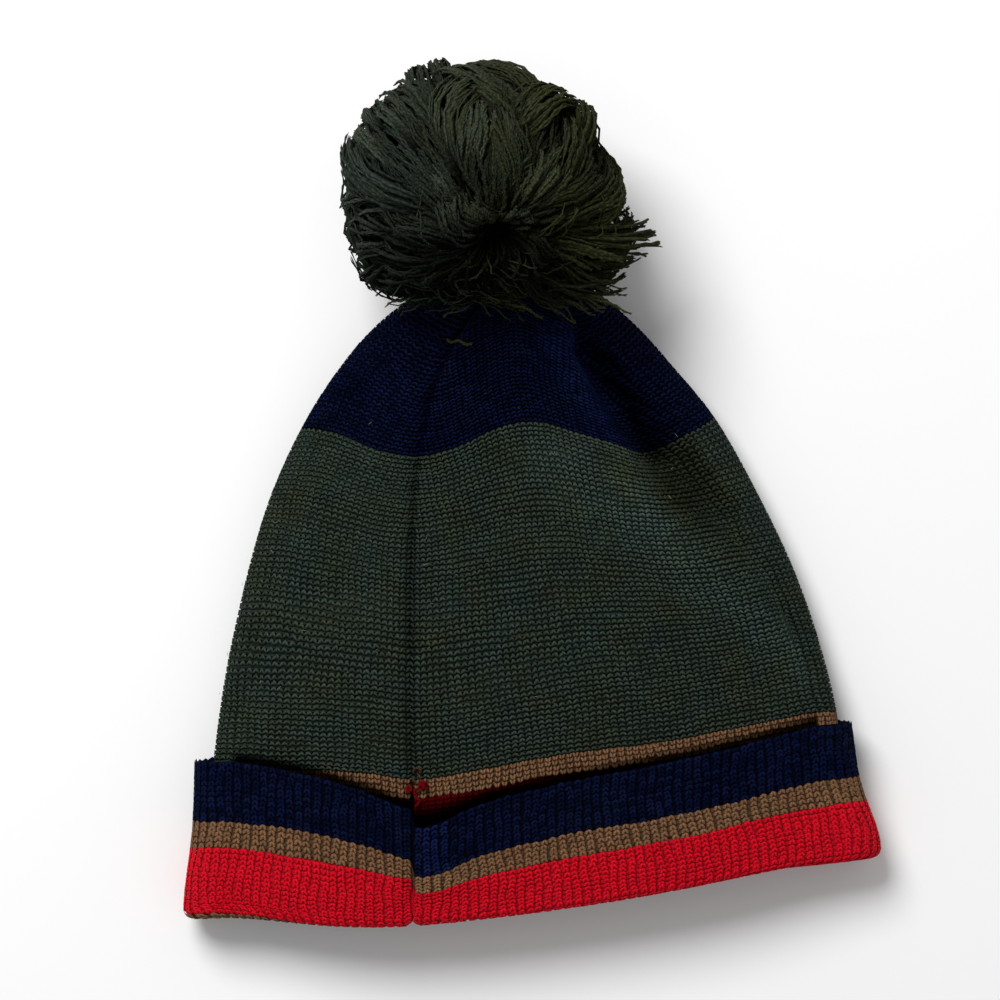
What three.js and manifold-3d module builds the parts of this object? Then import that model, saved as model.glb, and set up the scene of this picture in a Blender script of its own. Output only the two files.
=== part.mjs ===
// A knitted wool hat with a turned-up striped cuff and a yarn pompom. It lies flat on its front,
// with the back seam uppermost, as it would on a table, and its head opening faces -Y.
// Millimetres. +X runs across the hat, +Y from the cuff to the pompom, +Z up from the table.
// The origin is on the underside, where the crown rests on the table.

import * as THREE from 'three';
import { mergeVertices } from 'three/addons/utils/BufferGeometryUtils.js';
import Module from 'manifold-3d';

const wasm = await Module();
wasm.setup();

// Driving sizes of the knit
const WALL = 3.0; // thickness of the knitted fabric
const COURSE = 1.85; // height of one knitted row
const YARN_GAP = 0.3; // clearance between two bands of different yarn
const GORES = 4; // wedges that the crown is shaped from

// Stations around the hat at each row: points on the upper side, each folded edge and the underside
const UPPER_STEPS = 20;
const EDGE_STEPS = 5;
const UNDER_STEPS = 10;

// The fabric is one tube, followed from the cuff's free edge, down round the hem and up to the apex.
// Each row gives the middle of the wall at one course: where its left and right folds lie, the height
// of the underside and of the upper side, the radius of the folded edges, where the back seam runs
// on the upper side, how far that side droops towards the hem at the seam, whether the droop is
// rounded (0) or comes to a point (1), how far each gore's corners dip, and how deep its pleats are.
const ROW_NAMES = [
  'course', 'xLeft', 'yLeft', 'xRight', 'yRight', 'under', 'upper', 'edge', 'seam', 'droop', 'point',
  'dip', 'pleat',
];
const ROWS = [
  [-25, -110.7, -88.4, 104.8, -75.2, 1.5, 35.5, 11.5, -39, 26.5, 1, 0, 0],
  [-15, -111.4, -108.5, 107.4, -93.0, 1.5, 33.0, 10.6, -39, 22.0, 1, 0, 0],
  [-2.2, -114.5, -137.0, 114.6, -116.9, 1.5, 29.5, 10.0, -39, 7.8, 0, 0, 0],
  [0, -111.9, -139.6, 112.0, -119.5, 4.1, 26.9, 7.4, -39, 7.8, 0, 0, 0],
  [2.2, -109.3, -137.0, 109.4, -116.9, 6.7, 24.3, 4.8, -39, 7.8, 0, 0, 0],
  [14, -107.0, -113.3, 103.6, -94.5, 6.0, 26.0, 5.6, -39, 9.0, 0.5, 0, 0],
  [30, -104.3, -87.5, 99.0, -68.0, 5.6, 28.0, 6.6, -39.5, 9.5, 1, 0, 0],
  [42, -101.4, -64.7, 94.0, -48.2, 1.5, 29.0, 7.6, -40, 8.5, 1, 0.5, 0],
  [56, -94.5, -31.0, 86.2, -25.7, 1.5, 29.5, 8.2, -40, 5.5, 1, 3.0, 0.4],
  [70, -87.0, -4.0, 74.7, -1.0, 1.5, 30.0, 8.4, -39.5, 2.5, 1, 6.5, 1.0],
  [85, -76.0, 21.1, 59.4, 26.1, 1.5, 31.5, 8.8, -37.5, 0, 1, 10.0, 2.0],
  [97, -63.6, 40.5, 46.4, 41.5, 2.5, 34.0, 9.2, -34.5, 0, 1, 11.5, 2.8],
  [108, -49.7, 56.0, 32.8, 56.0, 7.0, 37.0, 9.4, -29, 0, 1, 10.0, 3.0],
  [118, -32.0, 68.0, 17.0, 68.0, 16.0, 39.5, 8.6, -19, 0, 1, 6.0, 2.2],
  [124, -17.5, 74.5, 1.0, 74.5, 24.0, 37.5, 6.4, -10.5, 0, 1, 2.0, 0.8],
];

const FIRST_COURSE = ROWS[0][0];
const LAST_COURSE = ROWS.at(-1)[0];
const APEX_RISE = 2; // how far the apex stands beyond the last row
const SIDE_FLATNESS = 4; // power by which the upper side stays full towards its edges
const SIDE_ROUNDING = 1.5; // power by which it meets them

// How far the droop reaches to the left and to the right of the seam, pointed and rounded
const DROOP_REACH = { pointed: [36, 82], rounded: [66, 122] };
const DROOP_TIP = 3; // radius that blunts the point
const SEAM_GROOVE = { depth: 1.3, width: 3.2, startCourse: 2, fullCourse: 7 };

const HEM_TURN = 2.2; // courses from the hem to where its fold is flat again

// The fold slips at the left of the hem, so that the turned-in yarn shows there
const HEM_SLIP = { courses: 2.2, reach: 9, xFull: -112, xNone: -30 };

// Soft folds and dents of the upper side: a line from one point to the other, its half width, and
// its height, which is negative for a dent
const FIRST_FOLDED_COURSE = 30;
const FOLD_NAMES = ['xFrom', 'yFrom', 'xTo', 'yTo', 'width', 'height'];
const FOLDS = [
  [38, 40, 43, 14, 11, -6.5], // the crown's dent, right of the middle gore
  [8, 52, 20, 20, 9, 2.6], // the ridge beside it
  [20, 12, 92, -50, 9, 3.0], // the long ridge running down to the right edge
  [52, 6, 92, -28, 9, -2.2], // the hollow above that ridge
  [-44, 4, -62, -30, 10, -1.6], // the soft hollow left of the seam
  [-70, 10, -92, -70, 12, 1.4], // the swell along the left edge
];

// Bands of yarn from the cuff's edge to the apex, each with the courses that its mesh has rows at
const NAVY = 0x0c1230;
const TAN = 0x7a5a40;
const RED = 0xb01426;
const GREEN = 0x2b332d;
const BANDS = [
  { name: 'cuff_edge_navy', colour: NAVY, courses: [-25, -22, -18.5, -15] },
  { name: 'cuff_stripe_tan', colour: TAN, courses: [-15, -11] },
  { name: 'cuff_band_red', colour: RED, courses: [-11, -7, -3.6, -2.2, -0.8] },
  { name: 'hem_fold_tan', colour: TAN, courses: [-0.8, 0, 0.8, 1.6, 2.4, 3.4] },
  { name: 'inner_band_navy', colour: NAVY, courses: [3.4, 4.4, 8, 12.5] },
  { name: 'inner_band_red', colour: RED, courses: [12.5, 18, 24] },
  { name: 'crown_stripe_tan', colour: TAN, courses: [24, 28] },
  {
    name: 'crown_body_green',
    colour: GREEN,
    courses: [28, 33, 38, 43, 49, 56, 63, 70, 76, 81, 85],
  },
  {
    name: 'crown_top_navy',
    colour: NAVY,
    courses: [85, 89, 93, 97, 101, 105, 109, 113, 117, 121, 124],
  },
];

// The pompom: locks of yarn that leave a tie at the apex and are clipped to a rounded envelope,
// which bulges out where the longest ends hang over the crown
const POMPOM_CENTRE = new THREE.Vector3(-17.5, 98, 43.5);
const POMPOM_RADII = new THREE.Vector3(47, 43.5, 43);
const POMPOM_TIE = new THREE.Vector3(-8, 80, 35);
const POMPOM_CORE = 0.86; // share of the envelope that the packed yarn fills
const POMPOM_BULGES = [
  { towards: new THREE.Vector3(0.93, -0.36, 0), extra: 0.24, spread: 0.42 },
  { towards: new THREE.Vector3(-0.72, -0.69, 0), extra: 0.12, spread: 0.35 },
];
const LOCK_COUNT = 76;
const LOCK_RADIUS = 7.6;
const LOCK_SIDES = 5;
const LOCK_SHOULDER = 1.4; // lock radii from a lock's tip to where it is widest
const LOCK_TIP = { radius: 0.7, back: 0.3 }; // the rounding of the tip, in lock radii
const LOCK_UNEVENNESS = { share: 0.035, turn: 2.1 }; // single locks are longer or shorter
const CROWN_ROOM = 0.8; // clearance that the pompom is cut back to, outside the crown
const CROWN_ROOM_FROM = 63; // the first course that it is cut back from
const TABLE = { width: 400, depth: 40 }; // what the pompom's lowest yarn is flattened by
const POMPOM_GREEN = 0x24291f;

// Monotone cubic through the points: smooth, and never above or below them
function monotone(xs, ys) {
  const slopes = xs.slice(1).map((x, i) => (ys[i + 1] - ys[i]) / (x - xs[i]));
  const tangents = xs.map((_, i) => {
    const before = slopes[Math.max(i - 1, 0)];
    const after = slopes[Math.min(i, slopes.length - 1)];
    return before * after <= 0 ? 0 : (2 * before * after) / (before + after);
  });
  return (x) => {
    const last = xs.length - 2;
    const found = xs.findIndex((_, k) => k > 0 && x <= xs[k]);
    const i = found < 0 ? last : found - 1;
    const h = xs[i + 1] - xs[i];
    const t = Math.min(Math.max((x - xs[i]) / h, 0), 1);
    const a = (1 + 2 * t) * (1 - t) ** 2 * ys[i] + t * (1 - t) ** 2 * h * tangents[i];
    const b = t * t * (3 - 2 * t) * ys[i + 1] + t * t * (t - 1) * h * tangents[i + 1];
    return a + b;
  };
}

const columns = ROW_NAMES.map((_, c) => ROWS.map((row) => row[c]));
const curves = columns.map((column) => monotone(columns[0], column));

// The sizes of the row at a course. Within the hem's fold they follow a half circle.
function rowAt(course) {
  const turn = (Math.PI / 2) * Math.min(Math.abs(course) / HEM_TURN, 1);
  const folded = turn < Math.PI / 2;
  const value = (name, c) => {
    if (!folded) return curves[c](course);
    const share = name.startsWith('y') ? 1 - Math.cos(turn) : Math.sin(turn);
    return THREE.MathUtils.lerp(curves[c](0), curves[c](Math.sign(course) * HEM_TURN), share);
  };
  return Object.fromEntries(ROW_NAMES.map((name, c) => [name, value(name, c)]));
}

// Stations round the hat: a side of the section, and how far along that side
const sideStations = (side, steps) =>
  Array.from({ length: steps }, (_, i) => ({ side, along: i / steps }));
const stations = [
  ...sideStations('upper', UPPER_STEPS),
  ...sideStations('right', EDGE_STEPS),
  ...sideStations('under', UNDER_STEPS),
  ...sideStations('left', EDGE_STEPS),
];
const AROUND = stations.length;

// Where a station lies on the row: its x, its height and its share of the way round from the seam
function placeOnRow(row, { side, along }) {
  const xStart = row.xLeft + row.edge;
  const span = row.xRight - row.edge - xStart;
  const arc = Math.PI * row.edge;
  const turn = Math.PI * along;
  const places = {
    upper: { x: xStart + span * along, lift: 2, walked: span * along },
    right: {
      x: row.xRight - row.edge + row.edge * Math.sin(turn),
      lift: 1 + Math.cos(turn),
      walked: span + arc * along,
    },
    under: { x: xStart + span * (1 - along), lift: 0, walked: span + arc + span * along },
    left: {
      x: xStart - row.edge * Math.sin(turn),
      lift: 1 - Math.cos(turn),
      walked: 2 * span + arc + arc * along,
    },
  };
  const { x, lift, walked } = places[side];
  const round = (walked - (row.seam - xStart)) / (2 * (span + arc));
  return { x, z: row.under + row.edge * lift, round: round - Math.floor(round) };
}

// 0 at the corners between two gores and 1 along the middle of a gore
function goreBulge(round) {
  return 0.5 - 0.5 * Math.cos(2 * Math.PI * GORES * round);
}

// Courses by which the fabric has slipped round the hem at this x
function slipOf(x, course) {
  const left = THREE.MathUtils.smoothstep(-x, -HEM_SLIP.xNone, -HEM_SLIP.xFull);
  return HEM_SLIP.courses * left * Math.exp(-((course / HEM_SLIP.reach) ** 2));
}

// Share of the row's droop at a distance from the seam
function droopShare(away, point) {
  const way = away < 0 ? 0 : 1;
  const pointed = Math.exp(-Math.hypot(away, DROOP_TIP) / DROOP_REACH.pointed[way]);
  const rounded = Math.max(1 - (away / DROOP_REACH.rounded[way]) ** 2, 0);
  return THREE.MathUtils.lerp(rounded, pointed, point);
}

// The middle of the wall, before its dents
function middle(station, course) {
  const unslipped = placeOnRow(rowAt(course), station);
  const row = rowAt(course - slipOf(unslipped.x, course));
  const { x, z, round } = placeOnRow(row, station);
  const point = new THREE.Vector3(x, 0, z);
  const share = (x - row.xLeft) / (row.xRight - row.xLeft);
  point.y = THREE.MathUtils.lerp(row.yLeft, row.yRight, share);
  point.y -= row.dip * (1 - goreBulge(round));
  if (station.side === 'upper') {
    const full = 1 - Math.abs(2 * station.along - 1) ** SIDE_FLATNESS;
    point.y -= row.droop * droopShare(x - row.seam, row.point) * full;
    point.z += (row.upper - row.under - 2 * row.edge) * full ** SIDE_ROUNDING;
  }
  return { point, round, row };
}

function distanceToFold(x, y, fold) {
  const dx = fold.xTo - fold.xFrom;
  const dy = fold.yTo - fold.yFrom;
  const t = ((x - fold.xFrom) * dx + (y - fold.yFrom) * dy) / (dx * dx + dy * dy);
  const near = Math.min(Math.max(t, 0), 1);
  return Math.hypot(x - fold.xFrom - near * dx, y - fold.yFrom - near * dy);
}

const folds = FOLDS.map((row) =>
  Object.fromEntries(FOLD_NAMES.map((name, c) => [name, row[c]]))
);

// How far the wall is pushed outwards: pleats, and the seam's groove and the folds of the upper
// side. The underside has no pleats where it rests on the table.
function relief(station, { point, round, row }) {
  const lifted = THREE.MathUtils.smoothstep(row.under, WALL / 2, 2 * WALL);
  const pleat = row.pleat * (1 - goreBulge(round)) ** 3;
  if (station.side !== 'upper') return station.side === 'under' ? -pleat * lifted : -pleat;
  const { depth, width, startCourse, fullCourse } = SEAM_GROOVE;
  const clearOfHem = THREE.MathUtils.smoothstep(Math.abs(row.course), startCourse, fullCourse);
  const groove = depth * clearOfHem * Math.exp(-(((point.x - row.seam) / width) ** 2));
  const raised = folds.map(
    (fold) => fold.height * Math.exp(-((distanceToFold(point.x, point.y, fold) / fold.width) ** 2))
  );
  const folded = row.course > FIRST_FOLDED_COURSE ? raised.reduce((sum, h) => sum + h) : 0;
  return folded - pleat - groove;
}

// A point of the wall, at an offset from its middle towards the knit's right side, which is
// outermost on the crown and innermost on the turned-up cuff
function wallPoint(index, course, offset) {
  const here = middle(stations[index], course);
  const before = middle(stations[(index + AROUND - 1) % AROUND], course).point;
  const after = middle(stations[(index + 1) % AROUND], course).point;
  const step = 0.25;
  const below = middle(stations[index], Math.max(course - step, FIRST_COURSE)).point;
  const above = middle(stations[index], Math.min(course + step, LAST_COURSE)).point;
  const normal = after.sub(before).cross(above.sub(below)).normalize();
  const outward = course < 0 ? -1 : 1;
  return here.point.addScaledVector(normal, offset + outward * relief(stations[index], here));
}

function ringAt(course, offset) {
  return stations.map((_, i) => wallPoint(i, course, offset));
}

function centreOf(ring) {
  return ring.reduce((sum, p) => sum.add(p), new THREE.Vector3()).divideScalar(ring.length);
}

function geometryFrom(points, triangles) {
  const geometry = new THREE.BufferGeometry();
  const positions = points.flatMap((p) => p.toArray());
  geometry.setAttribute('position', new THREE.Float32BufferAttribute(positions, 3));
  geometry.setIndex(triangles);
  return geometry;
}

// One band of the tube, as a closed wall between two courses. The one that ends at the last
// course is closed over the apex.
function bandGeometry({ courses }) {
  const trim = YARN_GAP / 2 / COURSE;
  const rows = courses.length - 1;
  const toApex = courses[rows] === LAST_COURSE;
  const trimmed = courses.slice();
  if (courses[0] > FIRST_COURSE) trimmed[0] += trim;
  if (!toApex) trimmed[rows] -= trim;
  const faces = [WALL / 2, -WALL / 2].map((offset) => trimmed.map((c) => ringAt(c, offset)));
  const points = faces.flat(2);
  const right = (row, i) => row * AROUND + (i % AROUND);
  const wrong = (row, i) => right(row + rows + 1, i);
  const triangles = [];
  const quad = (a, b, c, d) => triangles.push(a, b, c, a, c, d);
  for (let i = 0; i < AROUND; i += 1) {
    for (let r = 0; r < rows; r += 1) {
      quad(right(r, i), right(r, i + 1), right(r + 1, i + 1), right(r + 1, i));
      quad(wrong(r, i + 1), wrong(r, i), wrong(r + 1, i), wrong(r + 1, i + 1));
    }
    quad(right(0, i), wrong(0, i), wrong(0, i + 1), right(0, i + 1));
    if (toApex) {
      triangles.push(right(rows, i), right(rows, i + 1), points.length);
      triangles.push(wrong(rows, i + 1), wrong(rows, i), points.length + 1);
    } else {
      quad(right(rows, i), right(rows, i + 1), wrong(rows, i + 1), wrong(rows, i));
    }
  }
  const apex = [WALL / 2, -WALL / 2].map((offset, face) => {
    const pole = centreOf(faces[face][rows]);
    pole.y += APEX_RISE + offset;
    return pole;
  });
  return geometryFrom(toApex ? [...points, ...apex] : points, triangles);
}

// Solids for joining and cutting
function solidOf(geometry) {
  const bare = new THREE.BufferGeometry();
  bare.setAttribute('position', geometry.getAttribute('position'));
  bare.setIndex(geometry.getIndex());
  const merged = mergeVertices(bare, 1e-4);
  return new wasm.Manifold(
    new wasm.Mesh({
      numProp: 3,
      vertProperties: merged.getAttribute('position').array,
      triVerts: new Uint32Array(merged.getIndex().array),
    })
  );
}

function geometryOf(solid) {
  const mesh = solid.getMesh();
  const geometry = new THREE.BufferGeometry();
  geometry.setAttribute('position', new THREE.BufferAttribute(mesh.vertProperties, 3));
  geometry.setIndex(new THREE.BufferAttribute(mesh.triVerts, 1));
  return geometry;
}

// The crown's outside with a little room round it, filled in, which the pompom is cut back from
function crownForm() {
  const offset = WALL / 2 + CROWN_ROOM;
  const courses = [...new Set(BANDS.flatMap((band) => band.courses))];
  const rings = courses.filter((c) => c >= CROWN_ROOM_FROM).map((c) => ringAt(c, offset));
  const apex = centreOf(rings.at(-1));
  apex.y += APEX_RISE + offset;
  const points = [...rings.flat(), centreOf(rings[0]), apex];
  const triangles = [];
  const at = (row, i) => row * AROUND + (i % AROUND);
  const last = rings.length - 1;
  for (let i = 0; i < AROUND; i += 1) {
    for (let r = 0; r < last; r += 1) {
      triangles.push(at(r, i), at(r, i + 1), at(r + 1, i + 1));
      triangles.push(at(r, i), at(r + 1, i + 1), at(r + 1, i));
    }
    triangles.push(at(0, i + 1), at(0, i), points.length - 2);
    triangles.push(at(last, i), at(last, i + 1), points.length - 1);
  }
  return solidOf(geometryFrom(points, triangles));
}

// One lock of yarn ends: a bundle that widens from the tie and has a rounded tip
function lockGeometry(length) {
  const profile = [
    new THREE.Vector2(0, 0),
    new THREE.Vector2(LOCK_RADIUS, length - LOCK_RADIUS * LOCK_SHOULDER),
    new THREE.Vector2(LOCK_RADIUS * LOCK_TIP.radius, length - LOCK_RADIUS * LOCK_TIP.back),
    new THREE.Vector2(0, length),
  ];
  return new THREE.LatheGeometry(profile, LOCK_SIDES);
}

// Where the lock at an index ends: tips are spread evenly over the envelope along a spiral
function lockTip(index) {
  const golden = Math.PI * (3 - Math.sqrt(5));
  const height = 1 - (2 * (index + 0.5)) / LOCK_COUNT;
  const reach = Math.sqrt(1 - height * height);
  const x = Math.cos(golden * index) * reach;
  const tip = new THREE.Vector3(x, height, Math.sin(golden * index) * reach);
  const uneven = LOCK_UNEVENNESS.share * Math.sin(LOCK_UNEVENNESS.turn * index);
  const bulges = POMPOM_BULGES.map(
    ({ towards, extra, spread }) => extra * Math.exp((tip.dot(towards) - 1) / spread ** 2)
  );
  const size = bulges.reduce((sum, bulge) => sum + bulge, 1 + uneven);
  return tip.multiplyScalar(size).multiply(POMPOM_RADII).add(POMPOM_CENTRE);
}

function pompomGeometry() {
  const core = new THREE.IcosahedronGeometry(1, 3);
  core.scale(...POMPOM_RADII.clone().multiplyScalar(POMPOM_CORE).toArray());
  core.translate(...POMPOM_CENTRE.toArray());
  const up = new THREE.Vector3(0, 1, 0);
  const locks = Array.from({ length: LOCK_COUNT }, (_, i) => {
    const path = lockTip(i).sub(POMPOM_TIE);
    const lock = lockGeometry(path.length());
    lock.applyQuaternion(new THREE.Quaternion().setFromUnitVectors(up, path.normalize()));
    lock.translate(...POMPOM_TIE.toArray());
    return solidOf(lock);
  });
  const table = new THREE.BoxGeometry(TABLE.width, TABLE.width, TABLE.depth);
  table.translate(0, 0, -TABLE.depth / 2);
  const whole = wasm.Manifold.union([solidOf(core), ...locks]);
  return geometryOf(whole.subtract(crownForm()).subtract(solidOf(table)));
}

function knit(colour) {
  return new THREE.MeshStandardMaterial({ color: colour, roughness: 0.95, metalness: 0 });
}

function mesh(name, geometry, material) {
  geometry.computeVertexNormals();
  const made = new THREE.Mesh(geometry, material);
  made.name = name;
  return made;
}

const hat = new THREE.Group();
for (const band of BANDS) hat.add(mesh(band.name, bandGeometry(band), knit(band.colour)));
hat.add(mesh('pompom', pompomGeometry(), knit(POMPOM_GREEN)));

export default hat;
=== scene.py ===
import bmesh
import bpy
import numpy as np
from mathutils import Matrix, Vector


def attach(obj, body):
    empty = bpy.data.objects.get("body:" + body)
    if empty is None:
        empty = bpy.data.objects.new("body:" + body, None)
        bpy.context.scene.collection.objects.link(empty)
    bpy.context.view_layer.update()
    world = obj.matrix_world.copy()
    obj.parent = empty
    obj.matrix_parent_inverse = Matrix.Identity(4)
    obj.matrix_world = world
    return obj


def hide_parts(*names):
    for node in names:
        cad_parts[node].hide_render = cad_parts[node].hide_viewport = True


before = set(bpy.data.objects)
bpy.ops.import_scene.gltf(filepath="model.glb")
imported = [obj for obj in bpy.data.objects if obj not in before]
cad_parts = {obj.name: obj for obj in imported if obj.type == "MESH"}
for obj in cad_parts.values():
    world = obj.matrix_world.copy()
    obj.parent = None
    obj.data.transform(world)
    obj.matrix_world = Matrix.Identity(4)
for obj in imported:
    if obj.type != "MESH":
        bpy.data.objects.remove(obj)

bl_info = {
    "name": "Knitted pompom hat",
    "version": (1, 0, 0),
    "blender": (4, 5, 0),
    "location": "3D View > Sidebar > Hat",
    "description": "Builds a knitted hat stitch by stitch, with its pompom and a plain stage",
    "category": "Add Mesh",
}

MM = 0.001

# Driving sizes of the knit, as in the solids
WALL = 3.0
GORES = 4
SIDE_FLATNESS = 4
SIDE_ROUNDING = 1.5
DROOP_REACH = {"pointed": (36, 90), "rounded": (66, 122)}
DROOP_TIP = 3
SEAM_GROOVE = {"depth": 1.7, "width": 2.3, "start_course": 2, "full_course": 7}
HEM_TURN = 2.2
HEM_SLIP = {"courses": 2.2, "reach": 9, "x_full": -112, "x_none": -30}
HEM_NOTCH = {"depth": 1.8, "width": 1.7, "courses": 5}
APEX_RISE = 2

# Right of the seam the cuff was sewn on a few courses lower
CUFF_STEP = {"near": 4.6, "near_reach": 15, "far": 2.5, "far_reach": 95, "edge": 0.6, "faded": 12}

# The middle of the wall at single courses: its left and right folds, the heights of the underside
# and the upper side, the radius of the folded edges, the back seam's place, the droop towards the
# hem at the seam and whether it is rounded or pointed, and each gore's dip and pleats
ROW_NAMES = (
    "course", "x_left", "y_left", "x_right", "y_right", "under", "upper", "edge", "seam", "droop",
    "point", "dip", "pleat",
)
ROWS = np.array([
    (-25, -110.7, -88.4, 104.8, -75.2, 1.5, 35.5, 11.5, -39, 21.0, 1, 0, 0),
    (-15, -111.4, -108.5, 107.4, -93.0, 1.5, 33.0, 10.6, -39, 18.0, 1, 0, 0),
    (-2.2, -114.5, -137.0, 114.6, -116.9, 1.5, 29.5, 10.0, -39, 7.8, 0, 0, 0),
    (0, -111.9, -139.6, 112.0, -119.5, 4.1, 26.9, 7.4, -39, 7.8, 0, 0, 0),
    (2.2, -109.3, -137.0, 109.4, -116.9, 6.7, 24.3, 4.8, -39, 7.8, 0, 0, 0),
    (14, -107.0, -113.3, 103.6, -94.5, 6.0, 26.0, 5.6, -39, 9.0, 0.5, 0, 0),
    (30, -104.3, -87.5, 99.0, -68.0, 5.6, 28.0, 6.6, -39.5, 9.5, 1, 0, 0),
    (42, -101.4, -64.7, 94.0, -48.2, 1.5, 29.0, 7.6, -40, 8.5, 1, 0.5, 0),
    (56, -94.5, -31.0, 86.2, -25.7, 1.5, 29.5, 8.2, -40, 5.5, 1, 3.0, 0.4),
    (70, -87.0, -4.0, 74.7, -1.0, 1.5, 30.0, 8.4, -39.5, 2.5, 1, 6.5, 1.0),
    (85, -76.0, 21.1, 59.4, 26.1, 1.5, 31.5, 8.8, -37.5, 0, 1, 10.0, 2.0),
    (97, -63.6, 40.5, 46.4, 41.5, 2.5, 34.0, 9.2, -34.5, 0, 1, 11.5, 2.8),
    (108, -49.7, 56.0, 32.8, 56.0, 7.0, 37.0, 9.4, -29, 0, 1, 10.0, 3.0),
    (118, -32.0, 68.0, 17.0, 68.0, 16.0, 39.5, 8.6, -19, 0, 1, 6.0, 2.2),
    (124, -17.5, 74.5, 1.0, 74.5, 24.0, 37.5, 6.4, -10.5, 0, 1, 2.0, 0.8),
])
FIRST_COURSE = ROWS[0][0]
LAST_COURSE = ROWS[-1][0]

# Soft folds and dents of the upper side: from, to, half width and height
FIRST_FOLDED_COURSE = 30
FOLDS = (
    (22, 47, 40, 14, 8.0, -7.0),
    (8, 52, 20, 20, 9, 2.6),
    (18, 10, 92, -50, 9, 5.0),
    (52, 6, 92, -28, 9, -3.0),
    (-44, 4, -62, -30, 10, -1.6),
    (-70, 10, -92, -70, 12, 1.4),
)

# Bands of yarn along the tube: name, yarn, first and last course, the face with stitches, and the
# shape of the stitches. Face 1 is the crown's outside and -1 its inside, which the turned-up cuff
# shows. Flat stitches read as rows and tall ones as columns.
BANDS = (
    ("cuff_edge_navy", "navy", -25, -15, -1, "tall"),
    ("cuff_stripe_tan", "tan", -15, -11, -1, "tall"),
    ("cuff_band_red", "red", -11, 0.9, -1, "tall"),
    ("hem_fold_tan", "tan", 0.9, 3.4, -1, "tall"),
    ("inner_band_navy", "navy", 3.4, 12.5, -1, "tall"),
    ("inner_band_red", "red", 12.5, 24, 1, "tall"),
    ("crown_stripe_tan", "tan", 24, 28, 1, "tall"),
    ("crown_body_green", "green", 28, 85, 1, "flat"),
    ("crown_top_navy", "navy", 85, 124, 1, "flat"),
)

# Rows of stitches: one for each course, and closer ones round the hem's fold, where the fabric's
# outer face is longer
COURSE_STEP = 1.8
CUFF_ROW_HEIGHT = 2.1  # of a course on the turned-up cuff
CUFF_ROW = 0.8333  # courses from one row of the cuff's stitches to the next
FOLD_ROWS = {"first": -1.7, "last": 3.4, "step": 0.62}
INNER_ROWS = {"first": 3.9, "last": 12.5, "step": 1.0}
CROWN_ROW = 0.92  # courses from one row of the crown's stitches to the next
INNER_FIRST_COURSE = 16  # below this the crown's stitches are hidden behind the cuff
CROWN_TAPER_COURSE = 68  # from here up, columns of stitches end at the darts between the gores

# How much narrower the cuff's columns get towards the hem, and over which courses
RIBS = {"drawn": 0.09, "courses": (-12, -3)}

# A leg of a stitch from its foot to where it dives under the next row: across in columns, along in
# courses, and above the wall as a share of the stitch's height. Then its half width in columns, its
# height as a share of the knit's, and how round its back is.
STITCHES = {
    "flat": {
        "path": ((0.0, -0.42, -0.1), (0.17, -0.27, 0.52), (0.38, 0.02, 0.48), (0.5, 0.26, -0.15)),
        "width": 0.34, "height": 1.0, "back": 0.5,
    },
    "tall": {
        "path": ((0.0, -0.8, 0.2), (0.14, -0.36, 0.62), (0.25, 0.2, 0.56), (0.34, 0.64, -0.1)),
        "width": 0.22, "height": 0.64, "back": 0.46,
    },
}
# How much stitches differ in width, height and lean, and in how far they stand out
UNEVEN = {"wide": 0.05, "tall": 0.06, "lean": 0.06, "out": 0.07}
# The folded edges and the hem stay smooth: stitches stand out by this share at the edges, and by as
# much less within some courses of the hem
FLATTER = {"share": 0.45, "hem": 2.5}

# The walls under the stitches: columns round the tube, with closer ones at the back seam, and rows
# this many courses apart, closer near the hem
WALL_COLUMNS = 132
SEAM_COLUMNS = (0.0012, 0.0035, 0.9965, 0.9988)
WALL_ROWS = {"hem": 0.6, "else": 1.4}

# Slow drifts of the rows and columns, in stitches, with waves of these sizes in millimetres
WANDER = {"columns": 0.3, "courses": 0.34, "waves": (13, 29, 61)}

# Light that reaches the knit beside the cuff's free edge, by how far beyond it a place lies: on the
# crown, and on the inner band, where the cuff gapes
EDGE_SHADE = {"least": 0.03, "clear": (1.4, 4.8)}
GAPE_SHADE = {"least": 0.002, "most": 0.15, "clear": (1.5, 7), "courses": (19.5, 25)}
# The back seam is a line of painted shade, and the columns beside it stand off it
SEAM_SHADE = {"share": 0.88, "width": 1.0}
SEAM_GAP = 0.5
# The first fold is a deep dent that little light gets into, while its left side catches more
DENT_SHADE = {"share": 0.8, "width": 5.0, "caught": 1.0, "left": 10, "spread": 6}
# The third fold is a ridge with a cool light on its left and a warm, darker place on its right
RIDGE = FOLDS[2]
RIDGE_SHADE = {"caught": 0.55, "left": 7, "spread": 9, "share": 0.56, "x": (48, 22), "y": (4, 20)}
# How far the yarn's colour drifts from its first shade to its second: by its own clouds, everywhere,
# and by the ridge's cool light and warm shade
COLOUR_DRIFT = {"own": 0.6, "even": 0.2, "cool": 0.3, "warm": 0.5}
# Right of the seam the real cuff bows up into the light, which is painted on: its reach, and how much by
# yarn
SEAM_LIGHT = {"from": (0.6, 2.2), "to": (8.5, 13), "navy": 0.9, "tan": 0.25, "red": 0.0}

# The pompom's envelope, where its longest ends bulge out, the parting from which the ends are
# combed outwards, and the tie
POMPOM_CENTRE = np.array((-18.2, 100.5, 43.5))
POMPOM_RADII = np.array((46.3, 41.0, 42.5))
POMPOM_BULGES = (((0.88, -0.47, 0), 0.36, 0.3), ((-0.66, -0.75, 0), 0.19, 0.3))
PARTING = np.array((0.2, -0.52, 0.83))
PARTING = PARTING / np.linalg.norm(PARTING)
POMPOM_PIECES = 2
POMPOM_LOCKS = 84
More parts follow.
